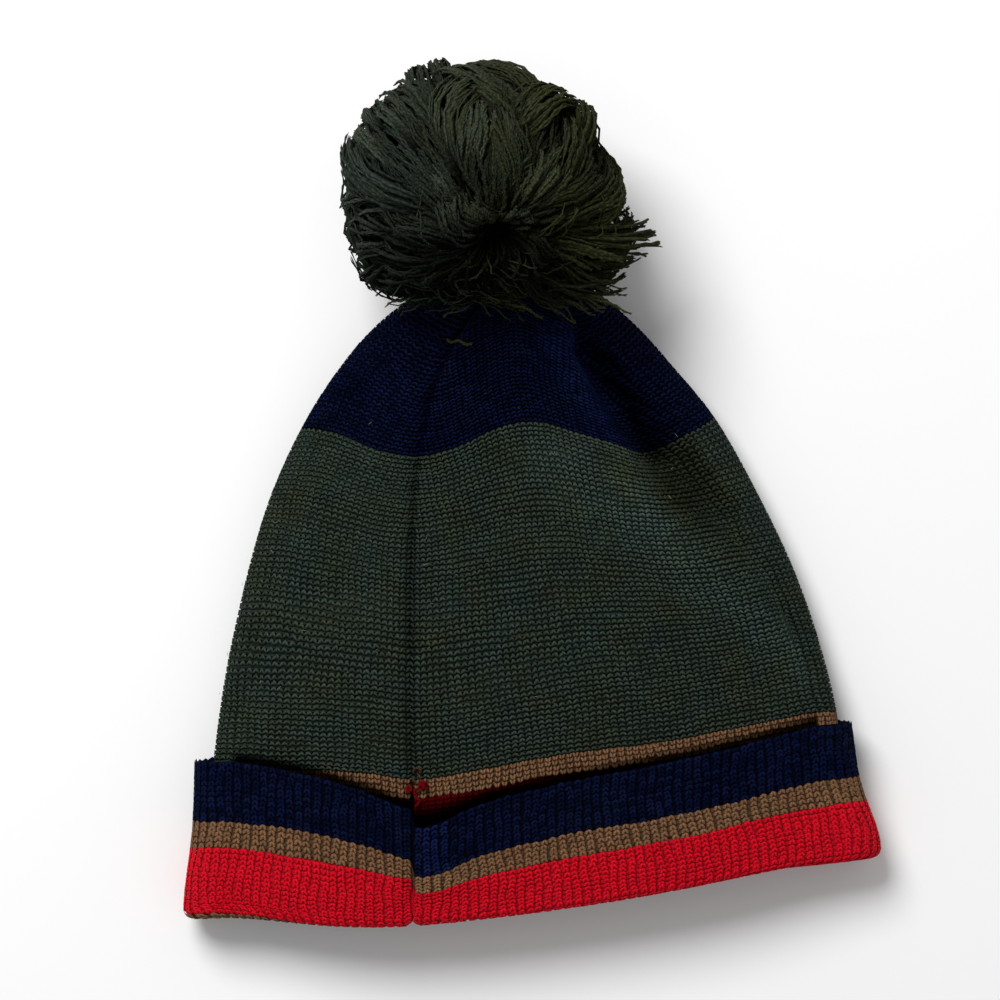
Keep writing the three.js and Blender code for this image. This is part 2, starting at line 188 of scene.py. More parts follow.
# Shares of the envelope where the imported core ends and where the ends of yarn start, and how far the
# core keeps clear of the table and, where it is low, of the crown
CORE_SHARE = 0.76
ROOT_SHARE = 0.68
CORE_CLEAR = {"table": 2.5, "low": 43, "crown": 79.5}
# Locks of yarn: their length as an angle, how far they differ in height, in reach and in swing to a
# side, how far their ends draw together sideways and lengthwise, and how round their backs are
LOCK = {
    "length": (0.5, 1.05), "height": 0.045, "reach": 0.08, "sway": 0.34, "drawn": 0.4, "gathered": 0.5,
    "round": 0.12,
}
# Ends between and below the locks
UNDERCOAT = {"share": 0.4, "size": 0.92, "light": 0.5}
PARTING_SIZE = 0.2
# The hollow over the tie, towards the crown, dark with painted shade: its middle, its half width, where it
# starts and ends along the hat, how far the ends there sink and how dark it is, the cosine with the hat's
# direction from which an end is in it, and the share of such ends that is left
POMPOM_HOLLOW = {
    "x": -18, "half": (20, 42), "y": (80, 95), "fringe": (52, 59), "sink": 0.08, "dark": 0.74,
    "cosine": 0.7, "kept": 0.75,
}
WISPS = {"across": 110, "fringe": 90}
# The pompom's yarn goes from bluish to olive between these places across, by these shares
POMPOM_SIDES = {"x": (-55, 15), "share": (-0.15, 0.75)}

# The grid on which the knit's height is looked up
TOPS_GRID = {"reach": 150, "size": 1.5, "cells": (200, 220)}

# Loose yarn, by x, y and height over the knit: loops of red yarn (middle, size and tilt) and runs of
# red and tan at the back seam, where the yarns change, and a stray bit high on the crown
RED_LOOPS = ((-35.6, -94.9, 0.9, 0.4), (-35.3, -95.6, 0.8, 2.0), (-36.1, -95.3, 0.7, 3.6))
RED_RUNS = (
    (
        (-36.4, -96, 1.2), (-38.4, -97.2, 0.8), (-38.0, -99.2, 1.1), (-36.9, -100.6, 0.7),
        (-38.3, -102.6, 0.6),
    ),
    (
        (-40.4, -95.4, 0.6), (-39.6, -96.5, 1.5), (-40.6, -97.4, 1.3), (-41.2, -96.4, 0.7),
        (-40.2, -95.6, 0.9),
    ),
)
TAN_RUNS = (
    (
        (-38.9, -91.2, 0.2), (-38.5, -90.0, 0.8), (-37.4, -89.6, 1.0), (-36.5, -90.3, 0.8),
        (-36.7, -91.5, 0.2),
    ),
    ((-37.6, -91.6, 0.2), (-36.8, -92.4, 0.9), (-36.4, -93.4, 0.4)),
    ((-40.2, -93.8, 0.2), (-39.5, -93.1, 0.8), (-38.8, -93.6, 0.7), (-39.0, -94.6, 0.2)),
)
STRAY_RUN = (
    (-28.0, 50.6, 0.6), (-26.2, 49.4, 0.9), (-24.0, 49.9, 0.8), (-21.6, 48.6, 0.9),
    (-19.6, 48.9, 0.6),
)
LINT_FIBRES = 60

# The camera stands over the hat as the photo's did, and a large lamp stands up and to the left
CAMERA = {"lens": 172.9, "place": (-0.01056, -0.00198, 1.6)}
LAMP_PLACE = (-0.62, 0.98, 1.4)
FLOOR_HALF = 3000


def linear(hex_colour):
    """An sRGB hex colour as the linear values that the shaders work in."""
    parts = [int(hex_colour[i:i + 2], 16) / 255 for i in (1, 3, 5)]
    return tuple(p / 12.92 if p <= 0.04045 else ((p + 0.055) / 1.055) ** 2.4 for p in parts)


def colour_property(name, description, hex_colour):
    return bpy.props.FloatVectorProperty(
        name=name, description=description, subtype="COLOR", min=0, max=1,
        default=linear(hex_colour),
    )


def count_property(name, description, default, low, high, **settings):
    return bpy.props.IntProperty(
        name=name, description=description, default=default, min=low, max=high, **settings
    )


def size_property(name, description, default, low, high, unit="LENGTH", subtype="DISTANCE"):
    return bpy.props.FloatProperty(
        name=name, description=description, default=default, min=low, max=high, unit=unit,
        subtype=subtype,
    )


def share_property(name, description, default, low, high):
    return size_property(name, description, default, low, high, "NONE", "FACTOR")


class HatColours(bpy.types.PropertyGroup):
    """Colours of the yarns and the floor"""

    navy: colour_property("Navy wool", "Yarn of the cuff's edge and the crown's top", "#060c29")
    tan: colour_property("Tan wool", "Yarn of the two tan stripes and the hem", "#715239")
    red: colour_property("Red wool", "Yarn of the red bands", "#c4091e")
    green: colour_property("Green wool", "Yarn of the crown's body", "#2e3b38")
    olive: colour_property("Pompom wool, right", "Yarn of the pompom on its olive side", "#2e301a")
    slate: colour_property("Pompom wool, left", "Yarn of the pompom on its bluish side", "#343d36")
    lint: colour_property("Lint", "Pale fibres that cling to the knit", "#8c8c81")
    floor: colour_property("Floor", "The plain floor", "#f6f6f6")


class HatKnit(bpy.types.PropertyGroup):
    """Sizes of the stitches"""

    crown_wales: count_property(
        "Crown stitches round", "Columns of stitches round the crown", 176, 80, 240, step=4
    )
    cuff_wales: count_property(
        "Cuff stitches round", "Columns of stitches round the cuff", 156, 80, 240
    )
    lift: size_property(
        "Stitch height", "How far the stitches stand on the wall", 0.00095, 0.0003, 0.0014
    )
    plump: share_property(
        "Plumpness", "Width of a leg as a share of its usual width", 1.3, 0.5, 1.6
    )
    unevenness: share_property(
        "Unevenness", "How far single stitches sit off their place, in stitches", 0.09, 0, 0.3
    )


class HatPompom(bpy.types.PropertyGroup):
    """Sizes of the pompom's yarn"""

    ends: count_property("Yarn ends", "Cut ends of yarn in the pompom", 3700, 500, 4500)
    ply: size_property(
        "Ply radius", "Radius of one of the yarn's two plies", 0.0005, 0.0002, 0.001
    )
    waviness: size_property("Waviness", "Sideways swing of a lock's ends", 0.001, 0, 0.003)


class HatStage(bpy.types.PropertyGroup):
    """Light on the stage"""

    lamp_power: size_property("Lamp power", "Power of the large soft lamp", 31, 0, 500, "POWER", "NONE")
    lamp_size: size_property("Lamp size", "Width of the round lamp", 0.95, 0.05, 3)
    room_light: share_property(
        "Room light", "Strength of the even light from all round", 0.42, 0, 2
    )


def smoothstep(x, low, high):
    t = np.clip((x - low) / (high - low), 0, 1)
    return t * t * (3 - 2 * t)


def monotone(xs, ys):
    """A smooth curve through the points that never runs above or below them."""
    slopes = np.diff(ys) / np.diff(xs)
    before = np.concatenate((slopes[:1], slopes))
    after = np.concatenate((slopes, slopes[-1:]))
    bent = before * after > 0
    total = np.where(bent, before + after, 1)
    tangents = np.where(bent, 2 * before * after / total, 0)

    def value(x):
        i = np.clip(np.searchsorted(xs, x) - 1, 0, len(xs) - 2)
        h = xs[i + 1] - xs[i]
        t = np.clip((x - xs[i]) / h, 0, 1)
        start = (1 + 2 * t) * (1 - t) ** 2 * ys[i] + t * (1 - t) ** 2 * h * tangents[i]
        end = t * t * (3 - 2 * t) * ys[i + 1] + t * t * (t - 1) * h * tangents[i + 1]
        return start + end

    return value


CURVES = {name: monotone(ROWS[:, 0], ROWS[:, c]) for c, name in enumerate(ROW_NAMES)}


def row_at(course):
    """The sizes of the rows at some courses. Within the hem's fold they follow a half circle."""
    turn = 0.5 * np.pi * np.minimum(np.abs(course) / HEM_TURN, 1)
    row = {}
    for name, curve in CURVES.items():
        share = 1 - np.cos(turn) if name.startswith("y_") else np.sin(turn)
        start = curve(np.zeros_like(course))
        end = curve(np.sign(course) * HEM_TURN)
        folded = turn < 0.5 * np.pi
        row[name] = np.where(folded, start + (end - start) * share, curve(course))
    return row


def row_lengths(row):
    x_start = row["x_left"] + row["edge"]
    span = row["x_right"] - row["edge"] - x_start
    return x_start, span, np.pi * row["edge"]


def girth_at(course):
    _, span, arc = row_lengths(row_at(np.asarray(course, float)))
    return 2 * (span + arc)


def side_of(row, around):
    """Which side of its row a place is on (0 upper, 1 right, 2 under, 3 left) and how far along."""
    x_start, span, arc = row_lengths(row)
    walked = np.mod(around * 2 * (span + arc) + row["seam"] - x_start, 2 * (span + arc))
    starts = (0 * span, span, span + arc, 2 * span + arc)
    lengths = (span, arc, span, arc)
    side = sum((walked >= start).astype(int) for start in starts[1:])
    along = (walked - np.choose(side, starts)) / np.choose(side, lengths)
    return side, along


def place_on_row(row, side, along):
    x_start, span, _ = row_lengths(row)
    turn = np.pi * along
    edge = row["edge"]
    x_right = row["x_right"] - edge + edge * np.sin(turn)
    xs = (x_start + span * along, x_right, x_start + span * (1 - along), x_start - edge * np.sin(turn))
    lifts = (2 + 0 * along, 1 + np.cos(turn), 0 * along, 1 - np.cos(turn))
    return np.choose(side, xs), row["under"] + edge * np.choose(side, lifts)


def gore_bulge(around):
    return 0.5 - 0.5 * np.cos(2 * np.pi * GORES * around)


def cuff_step(away):
    """How many courses lower the cuff sits right of the seam."""
    right = np.maximum(away, 0)
    near = CUFF_STEP["near"] / (1 + (right / CUFF_STEP["near_reach"]) ** 4)
    far = CUFF_STEP["far"] * np.exp(-right / CUFF_STEP["far_reach"])
    begun = 0.5 + 0.5 * np.tanh(away / CUFF_STEP["edge"])
    return (near + far) * begun / CUFF_ROW_HEIGHT


def middle(around, course):
    """The middle of the wall before its dents, with its row, its side of the tube, and how clear
    it is of the upper side's folded edges."""
    unslipped = row_at(course)
    side, along = side_of(unslipped, around)
    x, _ = place_on_row(unslipped, side, along)
    left = smoothstep(-x, -HEM_SLIP["x_none"], -HEM_SLIP["x_full"])
    slip = HEM_SLIP["courses"] * left * np.exp(-((course / HEM_SLIP["reach"]) ** 2))
    full = np.where(side == 0, 1 - np.abs(2 * along - 1) ** SIDE_FLATNESS, 0)
    lower = cuff_step(x - unslipped["seam"]) * full * (1 - smoothstep(course, 0, CUFF_STEP["faded"]))
    row = row_at(course - slip + lower)
    x, z = place_on_row(row, side, along)
    share = (x - row["x_left"]) / (row["x_right"] - row["x_left"])
    y = row["y_left"] + (row["y_right"] - row["y_left"]) * share
    y = y - row["dip"] * (1 - gore_bulge(around))
    away = x - row["seam"]
    pointed = np.exp(-np.hypot(away, DROOP_TIP) / np.where(away < 0, *DROOP_REACH["pointed"]))
    rounded = np.maximum(1 - (away / np.where(away < 0, *DROOP_REACH["rounded"])) ** 2, 0)
    droop = row["droop"] * (rounded + (pointed - rounded) * row["point"])
    notch = HEM_NOTCH["depth"] * np.exp(-((away / HEM_NOTCH["width"]) ** 2))
    notch = notch * np.exp(-((course / HEM_NOTCH["courses"]) ** 2))
    y = y - (droop - notch) * full
    z = z + (row["upper"] - row["under"] - 2 * row["edge"]) * full ** SIDE_ROUNDING
    return np.stack((x, y, z), -1), row, side, smoothstep(full, 0, 0.4)


def fold_gap(point, fold):
    """How far a place is from a fold's line, and how far right of it."""
    x_from, y_from, x_to, y_to = fold[:4]
    start = np.array((x_from, y_from))
    way = np.array((x_to, y_to)) - start
    t = np.clip((point[..., :2] - start) @ way / (way @ way), 0, 1)
    gap = point[..., :2] - start - t[..., None] * way
    right = (gap[..., 1] * way[0] - gap[..., 0] * way[1]) / np.hypot(*way)
    return np.hypot(gap[..., 0], gap[..., 1]), right


def fold_height(point):
    total = np.zeros(point.shape[:-1])
    for fold in FOLDS:
        width, height = fold[4:]
        total += height * np.exp(-((fold_gap(point, fold)[0] / width) ** 2))
    return total


def relief(around, point, row, side, clearance):
    """How far the wall is pushed outwards by pleats, the seam's groove and soft folds."""
    lifted = smoothstep(row["under"], WALL / 2, 2 * WALL)
    pleat = row["pleat"] * (1 - gore_bulge(around)) ** 3
    near = ((point[..., 0] - row["seam"]) / SEAM_GROOVE["width"]) ** 2
    clear = smoothstep(
        np.abs(row["course"]), SEAM_GROOVE["start_course"], SEAM_GROOVE["full_course"]
    )
    groove = SEAM_GROOVE["depth"] * clear * np.exp(-near)
    folded = np.where(row["course"] > FIRST_FOLDED_COURSE, fold_height(point) * clearance, 0)
    upper = folded - pleat - groove
    return np.select((side == 0, side == 2), (upper, -pleat * lifted), -pleat)


def unit(vectors):
    return vectors / np.linalg.norm(vectors, axis=-1, keepdims=True)


def wall_point(around, course, offset):
    """Places on the wall, at an offset from its middle towards the crown's outside."""
    around, course = np.broadcast_arrays(np.asarray(around, float), np.asarray(course, float))
    here, row, side, clearance = middle(around, course)
    turn = 1.6 / girth_at(course)
    step = 0.25
    across = middle(around + turn, course)[0] - middle(around - turn, course)[0]
    below = middle(around, np.maximum(course - step, FIRST_COURSE))[0]
    above = middle(around, np.minimum(course + step, LAST_COURSE))[0]
    normal = unit(np.cross(across, above - below))
    outward = np.where(row["course"] < 0, -1, 1)
    pushed = offset + outward * relief(around, here, row, side, clearance)
    return here + normal * pushed[..., None]


def seam_distance(around, course):
    return (np.mod(around + 0.5, 1) - 0.5) * girth_at(course)


def wander(x, y, seed, sizes):
    """A soft random field, mostly between -1 and 1, with waves of some sizes."""
    random = np.random.default_rng(seed)
    total = np.zeros(np.shape(x))
    for size in sizes:
        for turn, phase in random.random((3, 2)) * 2 * np.pi:
            total = total + np.sin((np.cos(turn) * x + np.sin(turn) * y) * 2 * np.pi / size + phase)
    return total / (1.7 * len(sizes))


def free_edge():
    """The line of the cuff's free edge over the crown: its x and y from left to right."""
    around = np.linspace(-0.24, 0.42, 400)
    line = wall_point(around, FIRST_COURSE, -WALL / 2)
    line = line[middle(around, FIRST_COURSE + 0 * around)[2] == 0]
    order = np.argsort(line[:, 0])
    return line[order, 0], line[order, 1]


def edge_gap(point, row_side):
    """How far a place on the crown's upper side lies beyond the cuff's free edge."""
    xs, ys = free_edge()
    gap = point[..., 1] - np.interp(point[..., 0], xs, ys)
    return np.where(row_side == 0, gap, 99)


def rgba(colour):
    return (*colour[:3], 1.0)


MATH = "ShaderNodeMath"
VECTOR_MATH = "ShaderNodeVectorMath"
RANGE = "ShaderNodeMapRange"
NOISE = "ShaderNodeTexNoise"
SPLIT = "ShaderNodeSeparateXYZ"
ATTRIBUTE = "ShaderNodeAttribute"
NAMED = "GeometryNodeInputNamedAttribute"
STORE = "GeometryNodeStoreNamedAttribute"


def add_node(tree, kind, inputs=None, output=0, **settings):
    """Adds a node, sets its properties, links or sets its inputs by name or place, and gives back
    one of its outputs, or all of them where output is None."""
    node = tree.nodes.new(kind)
    for name, value in settings.items():
        setattr(node, name, value)
    for key, value in (inputs or {}).items():
        if isinstance(value, bpy.types.NodeSocket):
            tree.links.new(value, node.inputs[key])
        else:
            node.inputs[key].default_value = value
    return node.outputs if output is None else node.outputs[output]


def mesh_object(name, points, faces, material=None, attributes=None):
    """A smooth mesh object from points in millimetres."""
    mesh = bpy.data.meshes.new(name)
    mesh.from_pydata((np.asarray(points) * MM).tolist(), [], faces)
    for key, values in (attributes or {}).items():
        values = np.asarray(values, np.float32)
        kind, field = ("FLOAT", "value") if values.ndim == 1 else ("FLOAT_VECTOR", "vector")
        attribute = mesh.attributes.new(key, kind, "POINT")
        attribute.data.foreach_set(field, values.ravel())
    mesh.polygons.foreach_set("use_smooth", [True] * len(mesh.polygons))
    mesh.update()
    made = bpy.data.objects.new(name, mesh)
    if material:
        mesh.materials.append(material)
    bpy.context.scene.collection.objects.link(made)
    return made


def finish_piece(piece, nodes=()):
    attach(piece, "root")
    if nodes:
        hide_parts(*nodes)
    return piece


def run_tree(carrier, tree, values):
    """Runs a node tree on an object and keeps the result as a plain mesh."""
    modifier = carrier.modifiers.new("build", "NODES")
    modifier.node_group = tree
    sockets = {s.name: s.identifier for s in tree.interface.items_tree if s.in_out == "INPUT"}
    for name, value in values.items():
        modifier[sockets[name]] = value
    bpy.context.view_layer.update()
    graph = bpy.context.evaluated_depsgraph_get()
    made = bpy.data.meshes.new_from_object(
        carrier.evaluated_get(graph), preserve_all_data_layers=True, depsgraph=graph
    )
    carrier.modifiers.clear()
    old = carrier.data
    carrier.data = made
    made.name = carrier.name
    bpy.data.meshes.remove(old)
    return carrier


def bending_tree(name, amount, kinds, prepare, walks):
    """A tree that puts a copy of a template at each point of a mesh and bends it by the point's own
    attributes. prepare moves or marks the points, and walks gives, for each part of the way from the
    point, the attribute that it follows and its share of it."""
    if name in bpy.data.node_groups:
        return bpy.data.node_groups[name]
    tree = bpy.data.node_groups.new(name, "GeometryNodeTree")
    sockets = {"Geometry": "Geometry", "Template": "Object", "Yarn": "Material", amount: "Float"}
    for label, kind in {**sockets, "Seed": "Int"}.items():
        tree.interface.new_socket(label, in_out="INPUT", socket_type=f"NodeSocket{kind}")
    tree.interface.new_socket("Geometry", in_out="OUTPUT", socket_type="NodeSocketGeometry")
    group = add_node(tree, "NodeGroupInput", output=None)
    stored = {
        key: add_node(tree, NAMED, {"Name": key}, "Attribute", data_type=kind)
        for key, kind in {"place": "FLOAT_VECTOR", **kinds}.items()
    }
    position = add_node(tree, "GeometryNodeInputPosition")
    placed = add_node(
        tree, STORE, {"Geometry": prepare(tree, group, stored), "Name": "place", "Value": position},
        data_type="FLOAT_VECTOR",
    )
    template = add_node(tree, "GeometryNodeObjectInfo", {"Object": group["Template"]}, "Geometry")
    field = add_node(
        tree, "GeometryNodeInstanceOnPoints", {"Points": placed, "Instance": template}
    )
    real = add_node(tree, "GeometryNodeRealizeInstances", {0: field})
    local = add_node(tree, VECTOR_MATH, {0: position, 1: stored["place"]}, operation="SUBTRACT")
    parts = add_node(tree, SPLIT, {0: local}, None)
    spot = stored["place"]
    for key, share in walks(tree, group, stored, parts):
        spot = add_node(
            tree, VECTOR_MATH, {0: stored[key], 1: share, 2: spot}, operation="MULTIPLY_ADD"
        )
    shaped = add_node(tree, "GeometryNodeSetPosition", {"Geometry": real, "Position": spot})
    finished = add_node(
        tree, "GeometryNodeSetMaterial", {"Geometry": shaped, "Material": group["Yarn"]}
    )
    add_node(tree, "NodeGroupOutput", {0: finished}, None)
    return tree


def unsettled(tree, group, stored):
    """Each stitch sits a little off its place."""
    random = add_node(
        tree, "FunctionNodeRandomValue",
        {0: (-1, -1, -1), 1: (1, 1, 1), "Seed": group["Seed"]}, data_type="FLOAT_VECTOR",
    )
    uneven = add_node(
        tree, VECTOR_MATH, {0: random, "Scale": group["Unevenness"]}, operation="SCALE"
    )
    across, along, _ = add_node(tree, SPLIT, {0: uneven}, None)
    aside = add_node(tree, VECTOR_MATH, {0: stored["wale"], "Scale": across}, operation="SCALE")
    offset = add_node(
        tree, VECTOR_MATH, {0: stored["rise"], 1: along, 2: aside}, operation="MULTIPLY_ADD"
    )
    return add_node(
        tree, "GeometryNodeSetPosition", {"Geometry": group["Geometry"], "Offset": offset}
    )


def stitch_tree():
    """Copies of a stitch, across, along and above the knit at their own place."""
    axes = ("wale", "rise", "out")
    return bending_tree(
        "Knitted stitches", "Unevenness", dict.fromkeys(axes, "FLOAT_VECTOR"), unsettled,
        lambda tree, group, stored, parts: zip(axes, parts),
    )


def spindle(path, radii, sides):
    """A closed strand along a path, pointed at both ends, with a ridge on top: its points, faces,
    share along and height on its ridge."""
    path = np.asarray(path, float)
    way = unit(np.gradient(path, axis=0))
    across = unit(np.cross(way, (0, 0, 1.0)))
    above = np.cross(across, way)
    turns = 0.5 * np.pi + 2 * np.pi * np.arange(sides) / sides
    points = [path[0]]
    for k in range(1, len(path) - 1):
        wide, tall = radii[k]
        ring = np.outer(np.cos(turns) * wide, across[k]) + np.outer(np.sin(turns) * tall, above[k])
        points.extend(path[k] + ring)
    points.append(path[-1])
    last = len(points) - 1
    faces = []
    for s in range(sides):
        t = (s + 1) % sides
        faces.append((0, 1 + s, 1 + t))
        for k in range(len(path) - 3):
            a = 1 + k * sides
            faces.append((a + s, a + sides + s, a + sides + t, a + t))
        a = 1 + (len(path) - 3) * sides
        faces.append((a + s, last, a + t))
    middle_rings = len(path) - 2
    shares = np.concatenate(([0], np.repeat(np.arange(1, middle_rings + 1), sides), [middle_rings + 1]))
    ridge = np.concatenate(([0.4], np.tile(0.5 + 0.5 * np.sin(turns), middle_rings), [0.4]))
    return np.array(points), faces, shares / (len(path) - 1), ridge


def hide_template(template):
    template.hide_render = True
    template.hide_viewport = True
    return template


def stitch_template(name, leg, lift, plump):
    """One knitted stitch: two legs that meet at its foot. Across in columns, along in courses and
    above the wall in metres, because the node tree bends it by frames of those sizes."""
    shape = STITCHES[leg]
    tall = lift * shape["height"]
    wide, back = shape["width"] * plump, shape["back"] * tall
    radii = [(0, 0), (wide, back), (wide, 0.94 * back), (0, 0)]
    points, faces, strands = [], [], []
    for hand in (-1, 1):
        path = [(hand * x, y, z * tall) for x, y, z in shape["path"]]
        made, leg_faces, along, ridge = spindle(path, radii, 3)
        base = sum(len(p) for p in points)
        faces.extend(tuple(base + i for i in face) for face in leg_faces)
        points.append(made)
        strands.append(np.stack((0 * along, along, ridge), -1))
    # The height is in metres already, while x and y count columns and courses
    scaled = np.concatenate(points) * np.array((1 / MM, 1 / MM, 1))
    made = mesh_object(name, scaled, faces, attributes={"strand": np.concatenate(strands)})
    return hide_template(made)


def stitch_frames(places, side, lift):
    """The places of some stitches and, at each, the steps of one column and one row and the
    direction out of the knit. side is +1 for the crown's outside and -1 for its inside."""
    around, course, wales, pitch = places
    x, y = seam_distance(around, course), course * COURSE_STEP
    free = smoothstep(np.abs(x), 1.5, 9)
    around = around + WANDER["columns"] * free * wander(x, y, 1, WANDER["waves"]) / wales
    course = course + WANDER["courses"] * wander(x, y, 2, WANDER["waves"]) * pitch
    # The seam draws its two edges down between the columns beside it
    around = around + SEAM_GAP * np.sign(x) * np.exp(-((x / 3) ** 2)) / girth_at(course)
    offset = side * (WALL / 2 - lift / MM)
    turn = 0.35 / wales
    up = np.minimum(course + 0.5 * pitch, LAST_COURSE)
    down = np.maximum(course - 0.5 * pitch, FIRST_COURSE)
    place = wall_point(around, course, offset)
    wale = wall_point(around + turn, course, offset) - wall_point(around - turn, course, offset)
    rise = wall_point(around, up, offset) - wall_point(around, down, offset)
    rise = rise * (pitch / (up - down))[..., None]
    wale = wale * side / 0.7
    return place, wale, rise, unit(np.cross(wale, rise))


def crown_places(wales, first, last):
    """Columns of stitches on the crown: parallel to the middle of each gore, ending at its darts."""
    columns = wales // GORES
    first = max(first, INNER_FIRST_COURSE)
    count = int(round((last - first) / CROWN_ROW))
    courses = first + (np.arange(count) + 0.5) * (last - first) / count
    girth = girth_at(courses)
    width = girth_at(np.minimum(courses, CROWN_TAPER_COURSE)) / wales
    spare = np.arange(columns + 2) - columns / 2 - 0.5
    around, course, wales_there = [], [], []
    for gore in range(GORES):
        for c, total, wide in zip(courses, girth, width):
            half = total / (2 * GORES)
            limit = half + (0.4 if c > CROWN_TAPER_COURSE else -0.1) * wide
            inside = spare[np.abs(spare * wide) < limit]
            centres = np.clip(inside * wide, 0.4 * wide - half, half - 0.4 * wide)
            around.append((gore + 0.5) / GORES + centres / total)
            course.append(np.full(len(inside), c))
            wales_there.append(np.full(len(inside), total / wide))
    around, course, wales_there = (np.concatenate(part) for part in (around, course, wales_there))
    return around, course, wales_there, np.full(len(around), (last - first) / count)


def cuff_rows():
    """Rows of stitches from the cuff's free edge to the inner band, and how far apart they are."""
    fold, inner = FOLD_ROWS, INNER_ROWS
    parts = (
        (FIRST_COURSE + CUFF_ROW / 2, fold["first"], CUFF_ROW),
        (fold["first"] + fold["step"] / 2, fold["last"], fold["step"]),
        (inner["first"], inner["last"], inner["step"]),
    )
    rows = [np.arange(*part) for part in parts]
    pitches = [np.full(len(row), part[2]) for row, part in zip(rows, parts)]
    return np.concatenate(rows), np.concatenate(pitches)


def cuff_places(wales, first, last):
    rows, pitch = cuff_rows()
    mine = (rows > first) & (rows < last)
    around, course = np.meshgrid((np.arange(wales) + 0.5) / wales, rows[mine])
    pitches = np.broadcast_to(pitch[mine][:, None], around.shape)
    return around.ravel(), course.ravel(), np.full(around.size, float(wales)), pitches.ravel()


def ridge_sides(point, row_side):
    """How much of a place lies on the ridge's lit side, and how much on its shaded side."""
    look = RIDGE_SHADE
    gap, right = fold_gap(point, RIDGE)
    upper = np.where(row_side == 0, 1, 0)
    lit = np.exp(-(((right + look["left"]) / look["spread"]) ** 2) - (gap / (2 * look["spread"])) ** 2)
    across, along = ((point[..., i] - look[key][0]) / look[key][1] for i, key in enumerate("xy"))
    shaded = np.exp(-(across ** 2) - along ** 2) * smoothstep(right, -2, 8)
    return lit * upper, shaded * upper


def warmth(point, row_side):
    """How far the yarn's colour drifts from its first shade to its second, but for its clouds: an even
    share, less in the ridge's painted cool light and more in its painted warm shade.
    """
    lit, shaded = ridge_sides(point, row_side)
    return COLOUR_DRIFT["even"] - COLOUR_DRIFT["cool"] * lit + COLOUR_DRIFT["warm"] * shaded


def dent_light(point, row_side):
    """The dark in the dent, and the light that its left side catches."""
    look = DENT_SHADE
    gap, right = fold_gap(point, FOLDS[0])
    upper = np.where(row_side == 0, 1, 0)
    lit = np.exp(-(((right + look["left"]) / look["spread"]) ** 2))
    lit = lit * np.exp(-((gap / (2 * look["left"])) ** 2))
    dark = np.exp(-((gap / look["width"]) ** 2))
    return (1 + look["caught"] * lit * upper) * (1 - look["share"] * dark * upper)


def light_share(around, course, point, row_side, yarn):
    """How much light reaches places on the knit: little beside the cuff's free edge, in the back seam
    and in the crown's dent, and more on the sides of folds that face the light."""
    share = np.ones(len(point))
    if course.min() >= INNER_ROWS["last"]:
        look = GAPE_SHADE if yarn == "red" else EDGE_SHADE
        clear = smoothstep(edge_gap(point, row_side), *look["clear"])
        if yarn == "red":
            clear = clear * smoothstep(course, *look["courses"])
        share = look["least"] + (look.get("most", 1) - look["least"]) * clear
    if course.min() > FIRST_FOLDED_COURSE - 3:
        share = share * dent_light(point, row_side)
        lit, shaded = ridge_sides(point, row_side)
        share = share * (1 + RIDGE_SHADE["caught"] * lit) * (1 - RIDGE_SHADE["share"] * shaded)
    away = seam_distance(around, course)
    near = np.exp(-((away / SEAM_SHADE["width"]) ** 2)) * smoothstep(np.abs(course), 0, 3)
    share = share * (1 - SEAM_SHADE["share"] * near)
    # Painted light on the cuff right of the seam
    if course.max() < 0:
        caught = smoothstep(away, *SEAM_LIGHT["from"]) * (1 - smoothstep(away, *SEAM_LIGHT["to"]))
        share = share * (1 + SEAM_LIGHT[yarn] * caught)
    return share


def knit_stitches(name, places, side, yarn, knit, template, material, seed):
    """One piece of stitches, from their places."""
    around, course = places[:2]
    place, wale, rise, out = stitch_frames(places, side, knit.lift)
    random = np.random.default_rng(seed)

    def varied(kind):
        return random.normal(0, UNEVEN[kind], len(place))[:, None]

    _, row, row_side, _ = middle(around, course)
    light = light_share(around, course, place, row_side, yarn)
    out = out * np.where(row_side % 2 == 1, FLATTER["share"], 1)[:, None]
    at_hem = np.exp(-((row["course"] / FLATTER["hem"]) ** 2))
    out = out * (1 - FLATTER["share"] * at_hem)[:, None]
    if side < 0:
        wale = wale * (1 - RIBS["drawn"] * smoothstep(course, *RIBS["courses"]))[:, None]
    wale = wale * (1 + varied("wide"))
    rise = rise * (1 + varied("tall"))
    lean = varied("lean")
    carrier = mesh_object(name, place, [], attributes={
        "wale": (wale + lean * rise) * MM,
        "rise": (rise - lean * wale) * MM,
        "out": out * (1 + varied("out")),
        "shade": random.random(len(place)),
        "light": light,
        "warmth": warmth(place, row_side),
    })
    run_tree(carrier, stitch_tree(), {
        "Template": template, "Yarn": material, "Unevenness": knit.unevenness, "Seed": seed,
    })
    return finish_piece(carrier)


